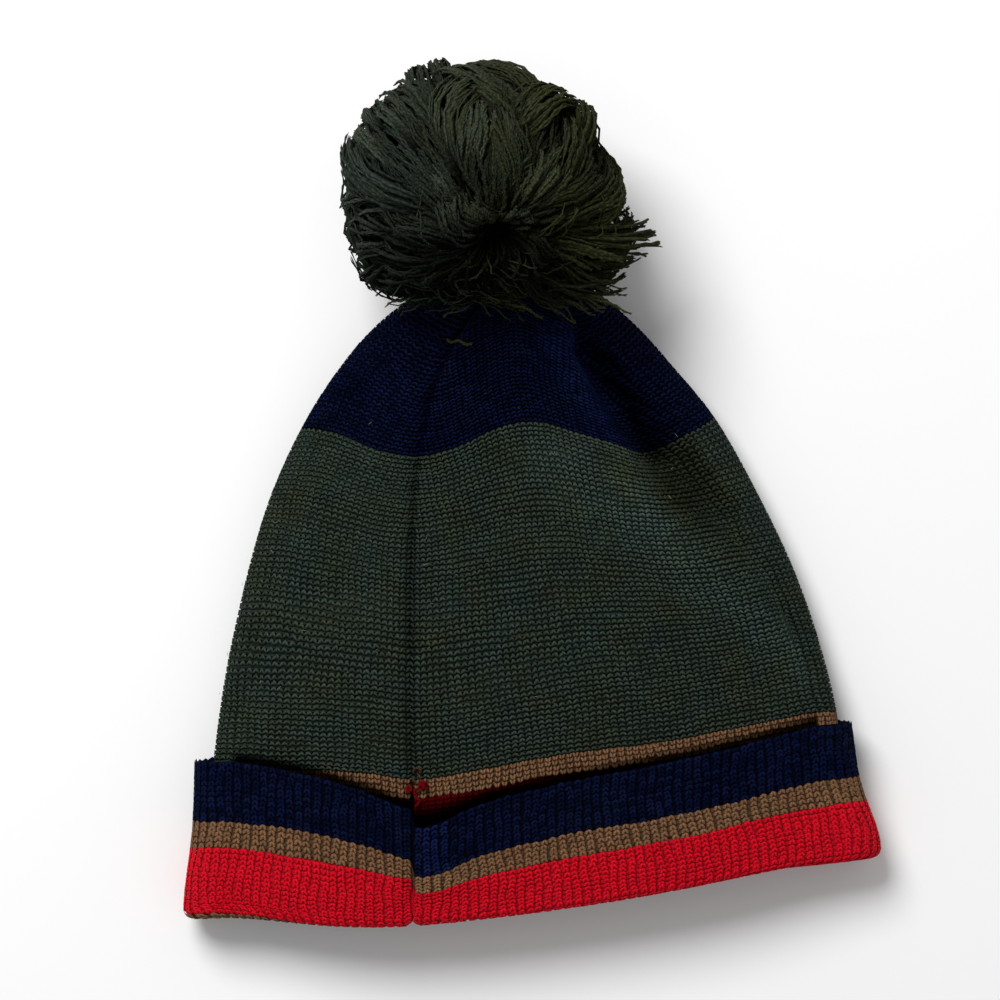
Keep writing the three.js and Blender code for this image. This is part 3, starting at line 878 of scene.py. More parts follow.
def band_wall(name, yarn, first, last, stitched, lift, material):
    """A closed wall of knit between two courses: the ground that the stitches stand on, with the
    knit's purl side on its other face."""
    around = np.unique(np.concatenate((np.arange(WALL_COLUMNS) / WALL_COLUMNS, SEAM_COLUMNS)))
    count = len(around)
    step = WALL_ROWS["hem" if abs(first) < 4 or abs(last) < 4 else "else"]
    rows = np.linspace(first, last, max(int(round((last - first) / step)), 4) + 1)
    to_apex = last == LAST_COURSE
    thickness = np.ones(len(rows))
    if first == FIRST_COURSE:
        # The free edge is rounded
        rows = np.concatenate((rows[:1], rows[:1] + 0.35, rows[1:]))
        thickness = np.concatenate(([0.3, 0.8], np.ones(len(rows) - 2)))
    offsets = [face * (WALL / 2 - lift / MM * (face == stitched)) for face in (1, -1)]
    course, turn = np.meshgrid(rows, around, indexing="ij")
    faces_points = [wall_point(turn, course, offset * thickness[:, None]) for offset in offsets]
    points = np.concatenate([p.reshape(-1, 3) for p in faces_points])
    row_side = side_of(row_at(course), turn)[0].ravel()
    front = faces_points[0].reshape(-1, 3)
    even = np.ones(len(front))
    light = light_share(turn.ravel(), course.ravel(), front, row_side, yarn)
    knit = np.stack((seam_distance(turn, course).ravel(), course.ravel(), 0 * even), -1)
    # The ground marks the face under the stitches, where the wall gets painted shade between them
    looks = {
        "knit": np.concatenate((knit, knit)),
        "ground": np.concatenate((even * (stitched == 1), even * (stitched == -1))),
        "light": np.concatenate((light, even)),
        "warmth": np.concatenate((warmth(front, row_side), COLOUR_DRIFT["even"] * even)),
    }
    last_row = len(rows) - 1
    faces = []

    def right(row, i):
        return row * count + i % count

    def wrong(row, i):
        return right(row + last_row + 1, i)

    for i in range(count):
        for r in range(last_row):
            faces.append((right(r, i), right(r, i + 1), right(r + 1, i + 1), right(r + 1, i)))
            faces.append((wrong(r, i + 1), wrong(r, i), wrong(r + 1, i), wrong(r + 1, i + 1)))
        faces.append((right(0, i), wrong(0, i), wrong(0, i + 1), right(0, i + 1)))
        if to_apex:
            faces.append((right(last_row, i), right(last_row, i + 1), len(points)))
            faces.append((wrong(last_row, i + 1), wrong(last_row, i), len(points) + 1))
        else:
            faces.append((
                right(last_row, i), right(last_row, i + 1), wrong(last_row, i + 1), wrong(last_row, i)
            ))
    if to_apex:
        poles = [p[-1].mean(0) + (0, APEX_RISE + offset, 0) for p, offset in zip(faces_points, offsets)]
        points = np.concatenate((points, poles))
        at_poles = {
            "knit": [(0, last, 0)] * 2, "ground": (1, 0), "light": (1, 1),
            "warmth": [COLOUR_DRIFT["even"]] * 2,
        }
        looks = {key: np.concatenate((part, at_poles[key])) for key, part in looks.items()}
    wall = mesh_object(f"{name}_wall", points, faces, material, looks)
    return finish_piece(wall, [name])


def new_material(name):
    material = bpy.data.materials.new(name)
    material.use_nodes = True
    material.node_tree.nodes.clear()
    return material, material.node_tree


def yarn_tone(tree, spread):
    """What varies in any of the yarns: clouds of colour some 14 mm wide, as one skein drifts, the
    strand's own shade, and fibres about 0.3 mm apart."""
    place = add_node(tree, "ShaderNodeTexCoord", output="Object")
    cloud = add_node(tree, NOISE, {"Vector": place, "Scale": 70.0, "Detail": 3.0, "Roughness": 0.6})
    fibre = add_node(tree, NOISE, {"Vector": place, "Scale": 2600.0, "Detail": 2.0})
    shade = add_node(tree, ATTRIBUTE, output="Fac", attribute_name="shade")
    own = add_node(tree, RANGE, {0: shade, 3: 1 - spread, 4: 1 + spread})
    fine = add_node(tree, RANGE, {0: fibre, 1: 0.3, 2: 0.7, 3: 0.66, 4: 1.34})
    tone = add_node(tree, MATH, {0: own, 1: fine}, operation="MULTIPLY")
    return place, add_node(tree, RANGE, {0: cloud, 1: 0.36, 2: 0.64}), tone, fibre


def wool_shader(tree, yarn, colours, tones, height, relief_mm, lit=True):
    """Carded wool: matt, with a soft bloom of loose fibres where it turns away, and less of it where
    little light reaches. Its colour drifts between two shades."""
    share, first, second = colours
    gloss, bloom = YARNS[yarn]["gloss"], YARNS[yarn]["bloom"]
    if lit:
        light = add_node(tree, ATTRIBUTE, output="Fac", attribute_name="light")
        tones = (*tones, light)
        gloss, bloom = (add_node(tree, RANGE, {0: light, 4: most}) for most in (gloss, bloom))
    tone = tones[0]
    for other in tones[1:]:
        tone = add_node(tree, MATH, {0: tone, 1: other}, operation="MULTIPLY")
    colour = add_node(
        tree, "ShaderNodeMix", {0: share, 6: rgba(first), 7: rgba(second)}, 2, data_type="RGBA"
    )
    toned = add_node(tree, VECTOR_MATH, {0: colour, "Scale": tone}, operation="SCALE")
    bump = add_node(
        tree, "ShaderNodeBump", {"Height": height, "Distance": relief_mm * MM, "Strength": 0.8}
    )
    shader = add_node(tree, "ShaderNodeBsdfPrincipled", {
        "Base Color": toned, "Roughness": 0.88, "Specular IOR Level": gloss,
        "Sheen Weight": bloom, "Sheen Roughness": 0.5,
        "Sheen Tint": rgba([min(1.0, 2.2 * c + 0.02) for c in first]), "Normal": bump,
    })
    add_node(tree, "ShaderNodeOutputMaterial", {"Surface": shader}, None)


# How each yarn's colour drifts, how dark the painted shade in its dips between and below the legs is,
# and how much its strands differ
YARNS = {
    "navy": {
        "drift": (2.2, 1.9, 1.2), "groove": 0.7, "foot": 0.88, "tuck": 0.65, "ground": 0.65, "own": 0.45,
        "gloss": 0.02, "bloom": 0.02,
    },
    "tan": {
        "drift": (1.16, 1.18, 1.22), "groove": 0.85, "foot": 0.95, "tuck": 0.7, "ground": 0.55,
        "own": 0.14, "gloss": 0.06, "bloom": 0.08,
    },
    "red": {
        "drift": (1.06, 1.2, 1.15), "groove": 1.0, "foot": 1.0, "tuck": 0.97, "ground": 1.0,
        "own": 0.08, "gloss": 0.08, "bloom": 0.08,
    },
    "green": {
        "drift": (1.25, 1.0, 0.6), "groove": 0.9, "foot": 0.92, "tuck": 0.75, "ground": 0.82,
        "own": 0.24, "gloss": 0.05, "bloom": 0.05,
    },
    "pompom": {"own": 0.4, "gloss": 0.05, "bloom": 0.05},
    "loose": {"own": 0.25, "gloss": 0.06, "bloom": 0.06},
    # The core, in painted shade, has no sheen
    "packed": {"own": 0.25, "gloss": 0.0, "bloom": 0.0},
}


def knit_colours(tree, yarn, cloud, colour):
    """How far the knit's colour drifts, by its own clouds and by how warm the light on it is, and the
    two shades that it drifts between."""
    warm = add_node(tree, ATTRIBUTE, output="Fac", attribute_name="warmth")
    share = add_node(
        tree, MATH, {0: cloud, 1: COLOUR_DRIFT["own"], 2: warm},
        operation="MULTIPLY_ADD", use_clamp=True,
    )
    return share, colour, [min(1.0, c * factor) for c, factor in zip(colour, YARNS[yarn]["drift"])]


def stitch_wool(yarn, colour):
    """Worsted wool yarn in knit stitches: matt strands, with painted shade where a leg dives under the
    next, at its foot and low on its sides.
    """
    material, tree = new_material(f"wool_yarn_{yarn}")
    looks = YARNS[yarn]
    _, cloud, tone, fibre = yarn_tone(tree, looks["own"])
    strand = add_node(tree, ATTRIBUTE, output="Vector", attribute_name="strand")
    _, along, ridge = add_node(tree, SPLIT, {0: strand}, None)
    # Painted shade at each leg's foot, where it dives under the next row, and low on its sides
    foot = add_node(tree, RANGE, {0: along, 2: 0.32, 3: looks["foot"]})
    tuck = add_node(tree, RANGE, {0: along, 1: 0.62, 3: 1.0, 4: looks["tuck"]})
    groove = add_node(tree, RANGE, {0: ridge, 1: 0.2, 3: looks["groove"]})
    # The yarn's plies cross a leg three times
    turns = add_node(tree, MATH, {0: along, 1: 20.0}, operation="MULTIPLY")
    twist = add_node(tree, MATH, {0: turns}, operation="SINE")
    height = add_node(tree, MATH, {0: twist, 1: 0.35, 2: fibre}, operation="MULTIPLY_ADD")
    colours = knit_colours(tree, yarn, cloud, colour)
    wool_shader(tree, yarn, colours, (tone, foot, tuck, groove), height, 0.12)
    return material


def ground_wool(yarn, colour):
    """The same wool on the wall below the stitches, with painted shade between them, and with rows of purl
    bumps on its other side, painted darker in the dips between the bumps."""
    material, tree = new_material(f"wool_ground_{yarn}")
    _, cloud, tone, fibre = yarn_tone(tree, YARNS[yarn]["own"])
    # Painted shade on the face under the stitches
    ground = add_node(tree, ATTRIBUTE, output="Fac", attribute_name="ground")
    depth = add_node(tree, RANGE, {0: ground, 3: 1.0, 4: YARNS[yarn]["ground"]})
    knit = add_node(tree, ATTRIBUTE, output="Vector", attribute_name="knit")
    away, course, _ = add_node(tree, SPLIT, {0: knit}, None)
    # One purl bump for each stitch, about 2 mm wide
    columns = add_node(tree, MATH, {0: away, 1: 2.9}, operation="MULTIPLY")
    column = add_node(tree, MATH, {0: columns}, operation="SINE")
    rows = add_node(tree, MATH, {0: course, 1: np.pi}, operation="MULTIPLY")
    wave = add_node(tree, MATH, {0: rows}, operation="SINE")
    row = add_node(tree, MATH, {0: wave}, operation="ABSOLUTE")
    bump = add_node(tree, MATH, {0: column, 1: 0.25, 2: 0.75}, operation="MULTIPLY_ADD")
    purl = add_node(tree, MATH, {0: row, 1: bump}, operation="MULTIPLY")
    # The dips between the purl bumps get painted shade
    pits = add_node(tree, RANGE, {0: purl, 2: 0.7, 3: 0.4})
    height = add_node(tree, MATH, {0: fibre, 1: 0.2, 2: purl}, operation="MULTIPLY_ADD")
    wool_shader(
        tree, yarn, knit_colours(tree, yarn, cloud, colour), (tone, depth, pits), height, 0.5
    )
    return material


def pompom_wool(name, slate, olive):
    """Cut wool yarn in the pompom: bluish on its left and olive on its right, with painted shade towards
    the tie and in the hollow over it, and with crossings of its plies about 2.5 mm apart, painted lighter
    and darker along their twist."""
    material, tree = new_material(name)
    place, cloud, tone, fibre = yarn_tone(tree, YARNS["pompom"]["own"])
    strand = add_node(tree, ATTRIBUTE, output="Vector", attribute_name="strand")
    _, along, ply = add_node(tree, SPLIT, {0: strand}, None)
    x, y, _ = add_node(tree, SPLIT, {0: place}, None)
    # Little light gets into the hollow over the tie, where the ends are few
    hollow = POMPOM_HOLLOW
    gap = add_node(tree, MATH, {0: x, 1: hollow["x"] * MM}, operation="SUBTRACT")
    wide = add_node(tree, MATH, {0: gap}, operation="ABSOLUTE")
    inside, under, over, side = (
        add_node(tree, RANGE, {0: value, 1: start * MM, 2: stop * MM, 3: first, 4: last})
        for value, (start, stop), (first, last) in (
            (wide, hollow["half"], (1.0, 0.0)),
            (y, hollow["y"], (1.0, 0.0)),
            (y, hollow["fringe"], (0.0, 1.0)),
            (x, POMPOM_SIDES["x"], POMPOM_SIDES["share"]),
        )
    )
    across = add_node(tree, MATH, {0: inside, 1: under}, operation="MULTIPLY")
    deep = add_node(tree, MATH, {0: across, 1: over}, operation="MULTIPLY")
    opened = add_node(tree, RANGE, {0: deep, 3: 1.0, 4: 1 - hollow["dark"]})
    wisp = add_node(tree, ATTRIBUTE, output="Fac", attribute_name="wisp")
    reached = add_node(tree, MATH, {0: opened, 1: wisp}, operation="MAXIMUM")
    # Painted shade deep in the pompom, towards each end's root
    depth = add_node(tree, RANGE, {0: along, 1: 0.08, 2: 0.45, 3: 0.12})
    phase = add_node(tree, MATH, {0: ply, 1: 3.0}, operation="MULTIPLY")
    turns = add_node(tree, MATH, {0: along, 1: 95.0, 2: phase}, operation="MULTIPLY_ADD")
    twist = add_node(tree, MATH, {0: turns}, operation="SINE")
    # Painted light and shade along the plies' twist
    plies = add_node(tree, RANGE, {0: twist, 1: -1.0, 3: 0.66, 4: 1.18})
    height = add_node(tree, MATH, {0: twist, 1: 0.6, 2: fibre}, operation="MULTIPLY_ADD")
    tint = add_node(tree, ATTRIBUTE, output="Fac", attribute_name="tint")
    mottled = add_node(tree, MATH, {0: cloud, 1: 0.25, 2: side}, operation="MULTIPLY_ADD")
    olive_share = add_node(tree, MATH, {0: tint, 1: 0.3, 2: mottled}, operation="MULTIPLY_ADD")
    wool_shader(
        tree, "pompom", (olive_share, slate, olive), (tone, depth, reached, plies), height, 0.2
    )
    return material


def plain_wool(name, colour, yarn="loose"):
    """A single strand or fibre of the wool that lies loose on the knit."""
    material, tree = new_material(name)
    _, cloud, tone, fibre = yarn_tone(tree, YARNS[yarn]["own"])
    duller = [0.75 * c for c in colour]
    wool_shader(tree, yarn, (cloud, colour, duller), (tone,), fibre, 0.1, lit=False)
    return material


def paper_white(colour):
    """Matt white paper: nearly white, with a faint grain about 1 mm wide."""
    material, tree = new_material("paper_white")
    place = add_node(tree, "ShaderNodeTexCoord", output="Object")
    grain = add_node(tree, NOISE, {"Vector": place, "Scale": 900.0})
    bump = add_node(tree, "ShaderNodeBump", {"Height": grain, "Distance": 0.00002, "Strength": 0.2})
    shader = add_node(tree, "ShaderNodeBsdfPrincipled", {
        "Base Color": rgba(colour), "Roughness": 0.9, "Specular IOR Level": 0.1, "Normal": bump,
    })
    add_node(tree, "ShaderNodeOutputMaterial", {"Surface": shader}, None)
    return material


def jittered(tree, group, stored):
    """Each end of yarn waves a little out of step with its lock."""
    jitter = add_node(
        tree, "FunctionNodeRandomValue", {2: -0.5, 3: 0.5, "Seed": group["Seed"]}, 1, data_type="FLOAT"
    )
    return add_node(
        tree, STORE, {"Geometry": group["Geometry"], "Name": "jitter", "Value": jitter},
        data_type="FLOAT",
    )


def yarn_walks(tree, group, stored, parts):
    """A curve from the root by the bow to the tip, with a slow wave that the ends of a lock share."""
    across, above, along = parts
    left = add_node(tree, MATH, {0: 1.0, 1: along}, operation="SUBTRACT")
    squared = add_node(tree, MATH, {0: along, 1: along}, operation="MULTIPLY")
    both = add_node(tree, MATH, {0: left, 1: along}, operation="MULTIPLY")
    bowed = add_node(tree, MATH, {0: both, 1: 2.0}, operation="MULTIPLY")
    begun = add_node(tree, MATH, {0: stored["phase"], 1: stored["jitter"]}, operation="ADD")
    angle = add_node(tree, MATH, {0: along, 1: 9.0, 2: begun}, operation="MULTIPLY_ADD")
    swing = add_node(tree, MATH, {0: along, 1: group["Waviness"]}, operation="MULTIPLY")
    sine = add_node(tree, MATH, {0: angle}, operation="SINE")
    wave = add_node(tree, MATH, {0: sine, 1: swing}, operation="MULTIPLY")
    return (
        ("bow", bowed), ("reach", squared), ("side_a", across), ("side_b", above), ("sway", wave),
    )


def yarn_end_tree():
    """Copies of a cut end of yarn, each along its point's own curve."""
    axes = ("bow", "reach", "side_a", "side_b", "sway")
    kinds = {**dict.fromkeys(axes, "FLOAT_VECTOR"), **dict.fromkeys(("phase", "jitter"), "FLOAT")}
    return bending_tree("Yarn ends", "Waviness", kinds, jittered, yarn_walks)


def yarn_end_template(name, ply, twists):
    """A straight end of two-ply yarn, one unit long and millimetres wide, blunt at its cut tip."""
    points, faces, strands = [], [], []
    shares = np.array((0.0, 0.16, 0.33, 0.5, 0.67, 0.83, 0.965, 1.0))
    for hand in (0, 1):
        turn = hand * np.pi + twists * 2 * np.pi * shares
        splay = 1 + 0.25 * smoothstep(shares, 0.8, 1.0)
        centre = np.stack((np.cos(turn) * splay, np.sin(turn) * splay), -1) * ply * 0.85
        thick = ply * np.array((0.6, 0.9, 1, 1, 1, 1.05, 0.9, 0))
        corners = np.arange(3) * 2 * np.pi / 3
        made = []
        for k, share in enumerate(shares[:-1]):
            ring = np.stack((np.cos(corners), np.sin(corners)), -1) * thick[k] + centre[k]
            made.extend((x, y, share) for x, y in ring)
        made.append((*centre[-1], 1.0))
        base = sum(len(p) for p in points)
        for s in range(3):
            t = (s + 1) % 3
            for k in range(len(shares) - 2):
                a = base + 3 * k
                faces.append((a + s, a + t, a + 3 + t, a + 3 + s))
            a = base + 3 * (len(shares) - 2)
            faces.append((a + s, a + t, base + len(made) - 1))
        faces.append((base + 2, base + 1, base))
        made = np.array(made)
        points.append(made)
        strands.append(np.stack((0 * made[:, 2], made[:, 2], np.full(len(made), hand)), -1))
    # The tree reads x and y in millimetres and z as a share, all straight off the mesh
    scaled = np.concatenate(points) / MM
    made = mesh_object(name, scaled, faces, attributes={"strand": np.concatenate(strands)})
    return hide_template(made)


def sphere_spread(count, seed, jitter):
    """Directions spread evenly over a sphere along a spiral, each a little off."""
    random = np.random.default_rng(seed)
    i = np.arange(count)
    height = 1 - (2 * (i + 0.5)) / count
    turn = np.pi * (3 - np.sqrt(5)) * i
    reach = np.sqrt(1 - height**2)
    spots = np.stack((np.cos(turn) * reach, np.sin(turn) * reach, height), -1)
    return unit(spots + random.normal(0, jitter, spots.shape))


def on_ball(angle, outward, share):
    """Places at an angle from the pompom's parting, on a share of its envelope."""
    direction = PARTING * np.cos(angle)[:, None] + outward * np.sin(angle)[:, None]
    size = np.ones(len(direction))
    for towards, extra, spread in POMPOM_BULGES:
        size += extra * np.exp((direction @ np.array(towards) - 1) / spread**2)
    return POMPOM_CENTRE + direction * (size * share)[:, None] * POMPOM_RADII


def towards_hat():
    """The way from the parting towards the crown."""
    return unit(np.array((0, -1.0, 0)) + PARTING[1] * PARTING)


def comb(directions):
    """The angle from the parting and the way outwards from it, of some directions."""
    cosine = np.clip(directions @ PARTING, -1, 1)
    return np.arccos(cosine), unit(directions - cosine[:, None] * PARTING)


def crown_tops():
    """A lookup of the knit's height over the table, by place, on a grid of cells."""
    turn, rows = np.meshgrid(np.linspace(-0.3, 0.45, 601), np.arange(12, LAST_COURSE + 0.01, 0.4))
    top = wall_point(turn, rows, WALL / 2).reshape(-1, 3)
    grid = np.full(TOPS_GRID["cells"], -1e6)

    def cell(spots):
        cells = ((spots[:, :2] + TOPS_GRID["reach"]) / TOPS_GRID["size"]).astype(int)
        return tuple(np.clip(cells, 0, np.array(grid.shape) - 1).T)

    np.maximum.at(grid, cell(top), top[:, 2])
    return lambda spots: grid[cell(spots)]


def pompom_ends(count):
    """The pompom's ends of yarn, gathered in locks over an undercoat: where each starts, bows and
    stops, how thick it is, which way and how far it waves, its lock, and how much light reaches it."""
    random = np.random.default_rng(11)
    angle, outward = comb(sphere_spread(count, 3, 0.03))
    lock_angle, lock_outward = comb(sphere_spread(POMPOM_LOCKS, 5, 0.12))

    def spot(angles, ways):
        return np.concatenate((ways * np.sin(angles)[:, None], 0.45 * angles[:, None]), 1)

    gaps = np.linalg.norm(spot(angle, outward)[:, None] - spot(lock_angle, lock_outward)[None], axis=2)
    lock = np.argmin(gaps, axis=1)
    off = np.minimum(gaps[np.arange(count), lock] / np.sqrt(4 * np.pi / POMPOM_LOCKS), 1.3)
    below = random.random(count) < UNDERCOAT["share"]
    in_lock = np.where(below, 0.15, 1)
    sway = in_lock * random.normal(0, LOCK["sway"], POMPOM_LOCKS)[lock] + random.normal(0, 0.04, count)
    angle = angle + in_lock * LOCK["gathered"] * (lock_angle[lock] - angle)
    angle = angle + in_lock * random.normal(0, LOCK["reach"], POMPOM_LOCKS)[lock]
    angle = np.clip(angle - 0.1 * off**2 + random.normal(0, 0.03, count), 0.12, 3.05)
    length = random.uniform(*LOCK["length"], POMPOM_LOCKS)[lock] + random.normal(0, 0.06, count)
    start = np.maximum(angle - length, 0.06 + 0.14 * random.random(count))
    start = np.minimum(start, angle - 0.04)
    deep = random.random(count) ** 1.5

    def way(share):
        drawn = unit(outward + (LOCK["drawn"] * share * in_lock)[:, None] * (lock_outward[lock] - outward))
        across = np.cross(PARTING, drawn)
        turn = (share * sway)[:, None]
        return drawn * np.cos(turn) + across * np.sin(turn)

    facing = way(1.0) @ towards_hat()
    heading = PARTING * np.cos(angle)[:, None] + way(1.0) * np.sin(angle)[:, None]
    fanned = np.exp((heading @ np.array(POMPOM_BULGES[0][0]) - 1) / 0.12)
    # Towards the crown the ends are short and tangled
    rough = smoothstep(facing, 0.1, 0.7) * (1 - fanned)
    sway = sway + random.normal(0, 0.35, count) * rough
    angle = angle - 0.3 * random.random(count) * rough * smoothstep(angle, 0.5, 0.9)
    size = 0.97 + random.normal(0, LOCK["height"], POMPOM_LOCKS)[lock] - 0.06 * deep
    size -= LOCK["round"] * off**2 + POMPOM_HOLLOW["sink"] * smoothstep(facing, 0.6, 0.9)
    size = np.where(below, UNDERCOAT["size"] - 0.05 * deep, size)
    roots = on_ball(start, way(0.0), ROOT_SHARE + 0 * size)
    bow_size = size + (0.07 + 0.1 * (angle - start)) * (1 - 0.7 * fanned)
    bows = on_ball(angle - 0.45 * (angle - start), way(0.45), bow_size)
    ends = on_ball(angle, way(1.0), size - 0.04 + 0.08 * fanned)
    thick = np.clip(1 + random.normal(0, 0.2, count), 0.6, 1.6)
    swing = unit(np.cross(ends - roots, bows - POMPOM_CENTRE))
    swing = swing * (0.5 + random.random(POMPOM_LOCKS))[lock][:, None]
    thinned = (facing > POMPOM_HOLLOW["cosine"]) & (angle < 1.5)
    kept = ~(thinned & (random.random(count) > POMPOM_HOLLOW["kept"])) & (angle > PARTING_SIZE)
    light = (1 - 0.35 * deep) * (1 - 0.6 * rough * random.random(count)) * (1 + 0.4 * fanned)
    light = light * np.where(below, UNDERCOAT["light"], 1 - 0.45 * np.minimum(off, 1) ** 2)
    return tuple(part[kept] for part in (roots, bows, ends, thick, swing, lock, light))


def pompom_wisps(random):
    """Thin ends that stray over the hollow from side to side, and a fringe of them on the crown."""
    count = WISPS["across"]
    hatwards = towards_hat()
    sideways = np.cross(PARTING, hatwards)
    turn = random.uniform(-1.3, 1.3, count)
    swing = np.where(random.random(count) < 0.5, -1, 1) * random.uniform(0.35, 1.0, count)
    angle = random.uniform(0.2, 0.85, count)

    def way(turns):
        return hatwards * np.cos(turns)[:, None] + sideways * np.sin(turns)[:, None]

    roots = on_ball(angle, way(turn), random.uniform(0.72, 0.86, count))
    bows = on_ball(angle + 0.1, way(turn + 0.5 * swing), random.uniform(0.93, 1.02, count))
    tips = angle + random.uniform(0.05, 0.4, count)
    ends = on_ball(tips, way(turn + swing), random.uniform(0.86, 0.98, count))
    count = WISPS["fringe"]
    x = random.uniform(-44, 22, count)
    side = np.sign(x - POMPOM_HOLLOW["x"])
    start = np.stack((x - side * 5, random.uniform(62, 71, count), random.uniform(46, 54, count)), -1)
    drop = start[:, 1] - random.uniform(1, 7, count)
    low = start[:, 2] - random.uniform(3, 9, count)
    stop = np.stack((x + side * random.uniform(2, 11, count), drop, low), -1)
    bow = 0.5 * (start + stop)
    bow[:, 2] = start[:, 2] + 2
    return tuple(np.concatenate(pair) for pair in ((roots, start), (bows, bow), (ends, stop)))


def rest_on_knit(bows, ends, random):
    """Ends that would dip into the crown or the table lie on it instead; ones far below go."""
    height = crown_tops()
    top = height(ends)
    keep = ends[:, 2] > top - 18
    lift = 0.9 + 2.2 * random.random(len(ends))
    lying = ends[:, 2] < top + lift
    ends[:, 2] = np.where(lying, top + lift, ends[:, 2])
    bows[:, 2] = np.maximum(bows[:, 2], height(bows) + 2.5)
    for spots in (ends, bows):
        spots[:, 2] = np.maximum(spots[:, 2], 1.6)
    return keep


def make_pompom_yarn(pompom, material, template):
    """The pompom's yarn in pieces, from its lowest ends to its highest."""
    made = pompom_ends(pompom.ends)
    random = np.random.default_rng(12)
    keep = rest_on_knit(made[1], made[2], random)
    roots, bows, ends, thick, sway, lock, light = (part[keep] for part in made)
    lock_shade, lock_tint, lock_phase = random.random((3, POMPOM_LOCKS + 1))
    strays = pompom_wisps(random)
    rest_on_knit(strays[1], strays[2], random)
    few = len(strays[0])
    wisp = np.where(random.random(len(ends)) < 0.05, random.uniform(0.3, 0.9, len(ends)), 0)
    wisp = np.concatenate((wisp, random.uniform(0.3, 1.0, few)))
    roots, bows, ends = (np.concatenate(pair) for pair in zip((roots, bows, ends), strays))
    thick = np.concatenate((thick, random.uniform(0.4, 0.7, few)))
    lock = np.concatenate((lock, np.full(few, POMPOM_LOCKS)))
    light = np.concatenate((light, np.ones(few)))
    reach, bow = ends - roots, bows - roots
    direction = unit(reach)
    side_a = unit(np.cross(direction, (0.3, 0.2, 0.9)))
    side_b = np.cross(direction, side_a)
    sway = np.concatenate((sway, side_a[len(sway):]))
    turn = random.random(len(ends))[:, None] * 2 * np.pi
    spun_a = side_a * np.cos(turn) + side_b * np.sin(turn)
    spun_b = np.cross(direction, spun_a)
    shade = 0.6 * lock_shade[lock] + 0.4 * random.random(len(ends))
    halves = np.argsort(np.argsort(ends[:, 2])) * POMPOM_PIECES // len(ends)
    for part in range(POMPOM_PIECES):
        mine = halves == part
        looks = {
            "bow": bow * MM, "reach": reach * MM,
            "side_a": spun_a * thick[:, None] * MM, "side_b": spun_b * thick[:, None] * MM,
            "sway": sway, "phase": 2 * np.pi * lock_phase[lock], "shade": shade,
            "tint": lock_tint[lock], "wisp": wisp, "light": light,
        }
        carrier = mesh_object(f"pompom_yarn_{part + 1}", roots[mine], [], attributes={
            key: values[mine] for key, values in looks.items()
        })
        run_tree(carrier, yarn_end_tree(), {
            "Template": template, "Yarn": material, "Waviness": pompom.waviness, "Seed": 20 + part,
        })
        finish_piece(carrier, ["pompom"])


def make_pompom_core(material):
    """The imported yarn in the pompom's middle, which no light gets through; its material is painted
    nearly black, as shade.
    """
    directions = sphere_spread(1500, 1, 0.0)
    points = POMPOM_CENTRE + directions * POMPOM_RADII * CORE_SHARE
    points[:, 2] = np.maximum(points[:, 2], CORE_CLEAR["table"])
    low = points[:, 2] < CORE_CLEAR["low"]
    points[low, 1] = np.maximum(points[low, 1], CORE_CLEAR["crown"])
    bm = bmesh.new()
    for p in points:
        bm.verts.new(p * MM)
    bmesh.ops.convex_hull(bm, input=bm.verts)
    loose = [v for v in bm.verts if not v.link_faces]
    bmesh.ops.delete(bm, geom=loose, context="VERTS")
    mesh = bpy.data.meshes.new("pompom_core")
    bm.to_mesh(mesh)
    bm.free()
    mesh.polygons.foreach_set("use_smooth", [True] * len(mesh.polygons))
    mesh.materials.append(material)
    core = bpy.data.objects.new("pompom_core", mesh)
    bpy.context.scene.collection.objects.link(core)
    finish_piece(core)


def smooth_path(knots, count):
    """Points along a smooth curve through the knots."""
    knots = np.asarray(knots, float)
    padded = np.concatenate((2 * knots[:1] - knots[1:2], knots, 2 * knots[-1:] - knots[-2:-1]))
    u = np.linspace(0, len(knots) - 1, count)
    i = np.minimum(u.astype(int), len(knots) - 2)
    t = (u - i)[:, None]
    a, b, c, d = (padded[i + k] for k in range(4))
    return b + 0.5 * t * (c - a + t * (2 * a - 5 * b + 4 * c - d + t * (3 * (b - c) + d - a)))


def two_ply(knots, ply, pitch):
    """Points and faces of a length of two-ply yarn along a curve through the knots."""
    rough = smooth_path(knots, 40)
    total = np.linalg.norm(np.diff(rough, axis=0), axis=1).sum()
    path = smooth_path(knots, max(int(total / 0.45), 6))
    walked = np.concatenate(([0], np.cumsum(np.linalg.norm(np.diff(path, axis=0), axis=1))))
    way = unit(np.gradient(path, axis=0))
    side = unit(np.cross(way, (0.12, 0.2, 1)))
    above = np.cross(side, way)
    corners = np.arange(6) * np.pi / 3
    points, faces = [], []
    for hand in (0, 1):
        turn = (2 * np.pi * walked / pitch + hand * np.pi)[:, None]
        centre = path + (np.cos(turn) * side + np.sin(turn) * above) * ply * 0.8
        base = sum(len(p) for p in points)
        ring = np.cos(corners)[None, :, None] * side[:, None]
        ring = ring + np.sin(corners)[None, :, None] * above[:, None]
        thick = ply * np.minimum(1, 0.45 + np.minimum(walked, walked[-1] - walked) / (2 * ply))
        points.append((centre[:, None] + ring * thick[:, None, None]).reshape(-1, 3))
        for k in range(len(path) - 1):
            a = base + 6 * k
            for s in range(6):
                t = (s + 1) % 6
                faces.append((a + t, a + s, a + 6 + s, a + 6 + t))
        faces.append(tuple(base + s for s in range(6)))
        faces.append(tuple(base + 6 * (len(path) - 1) + s for s in reversed(range(6))))
    return np.concatenate(points), faces


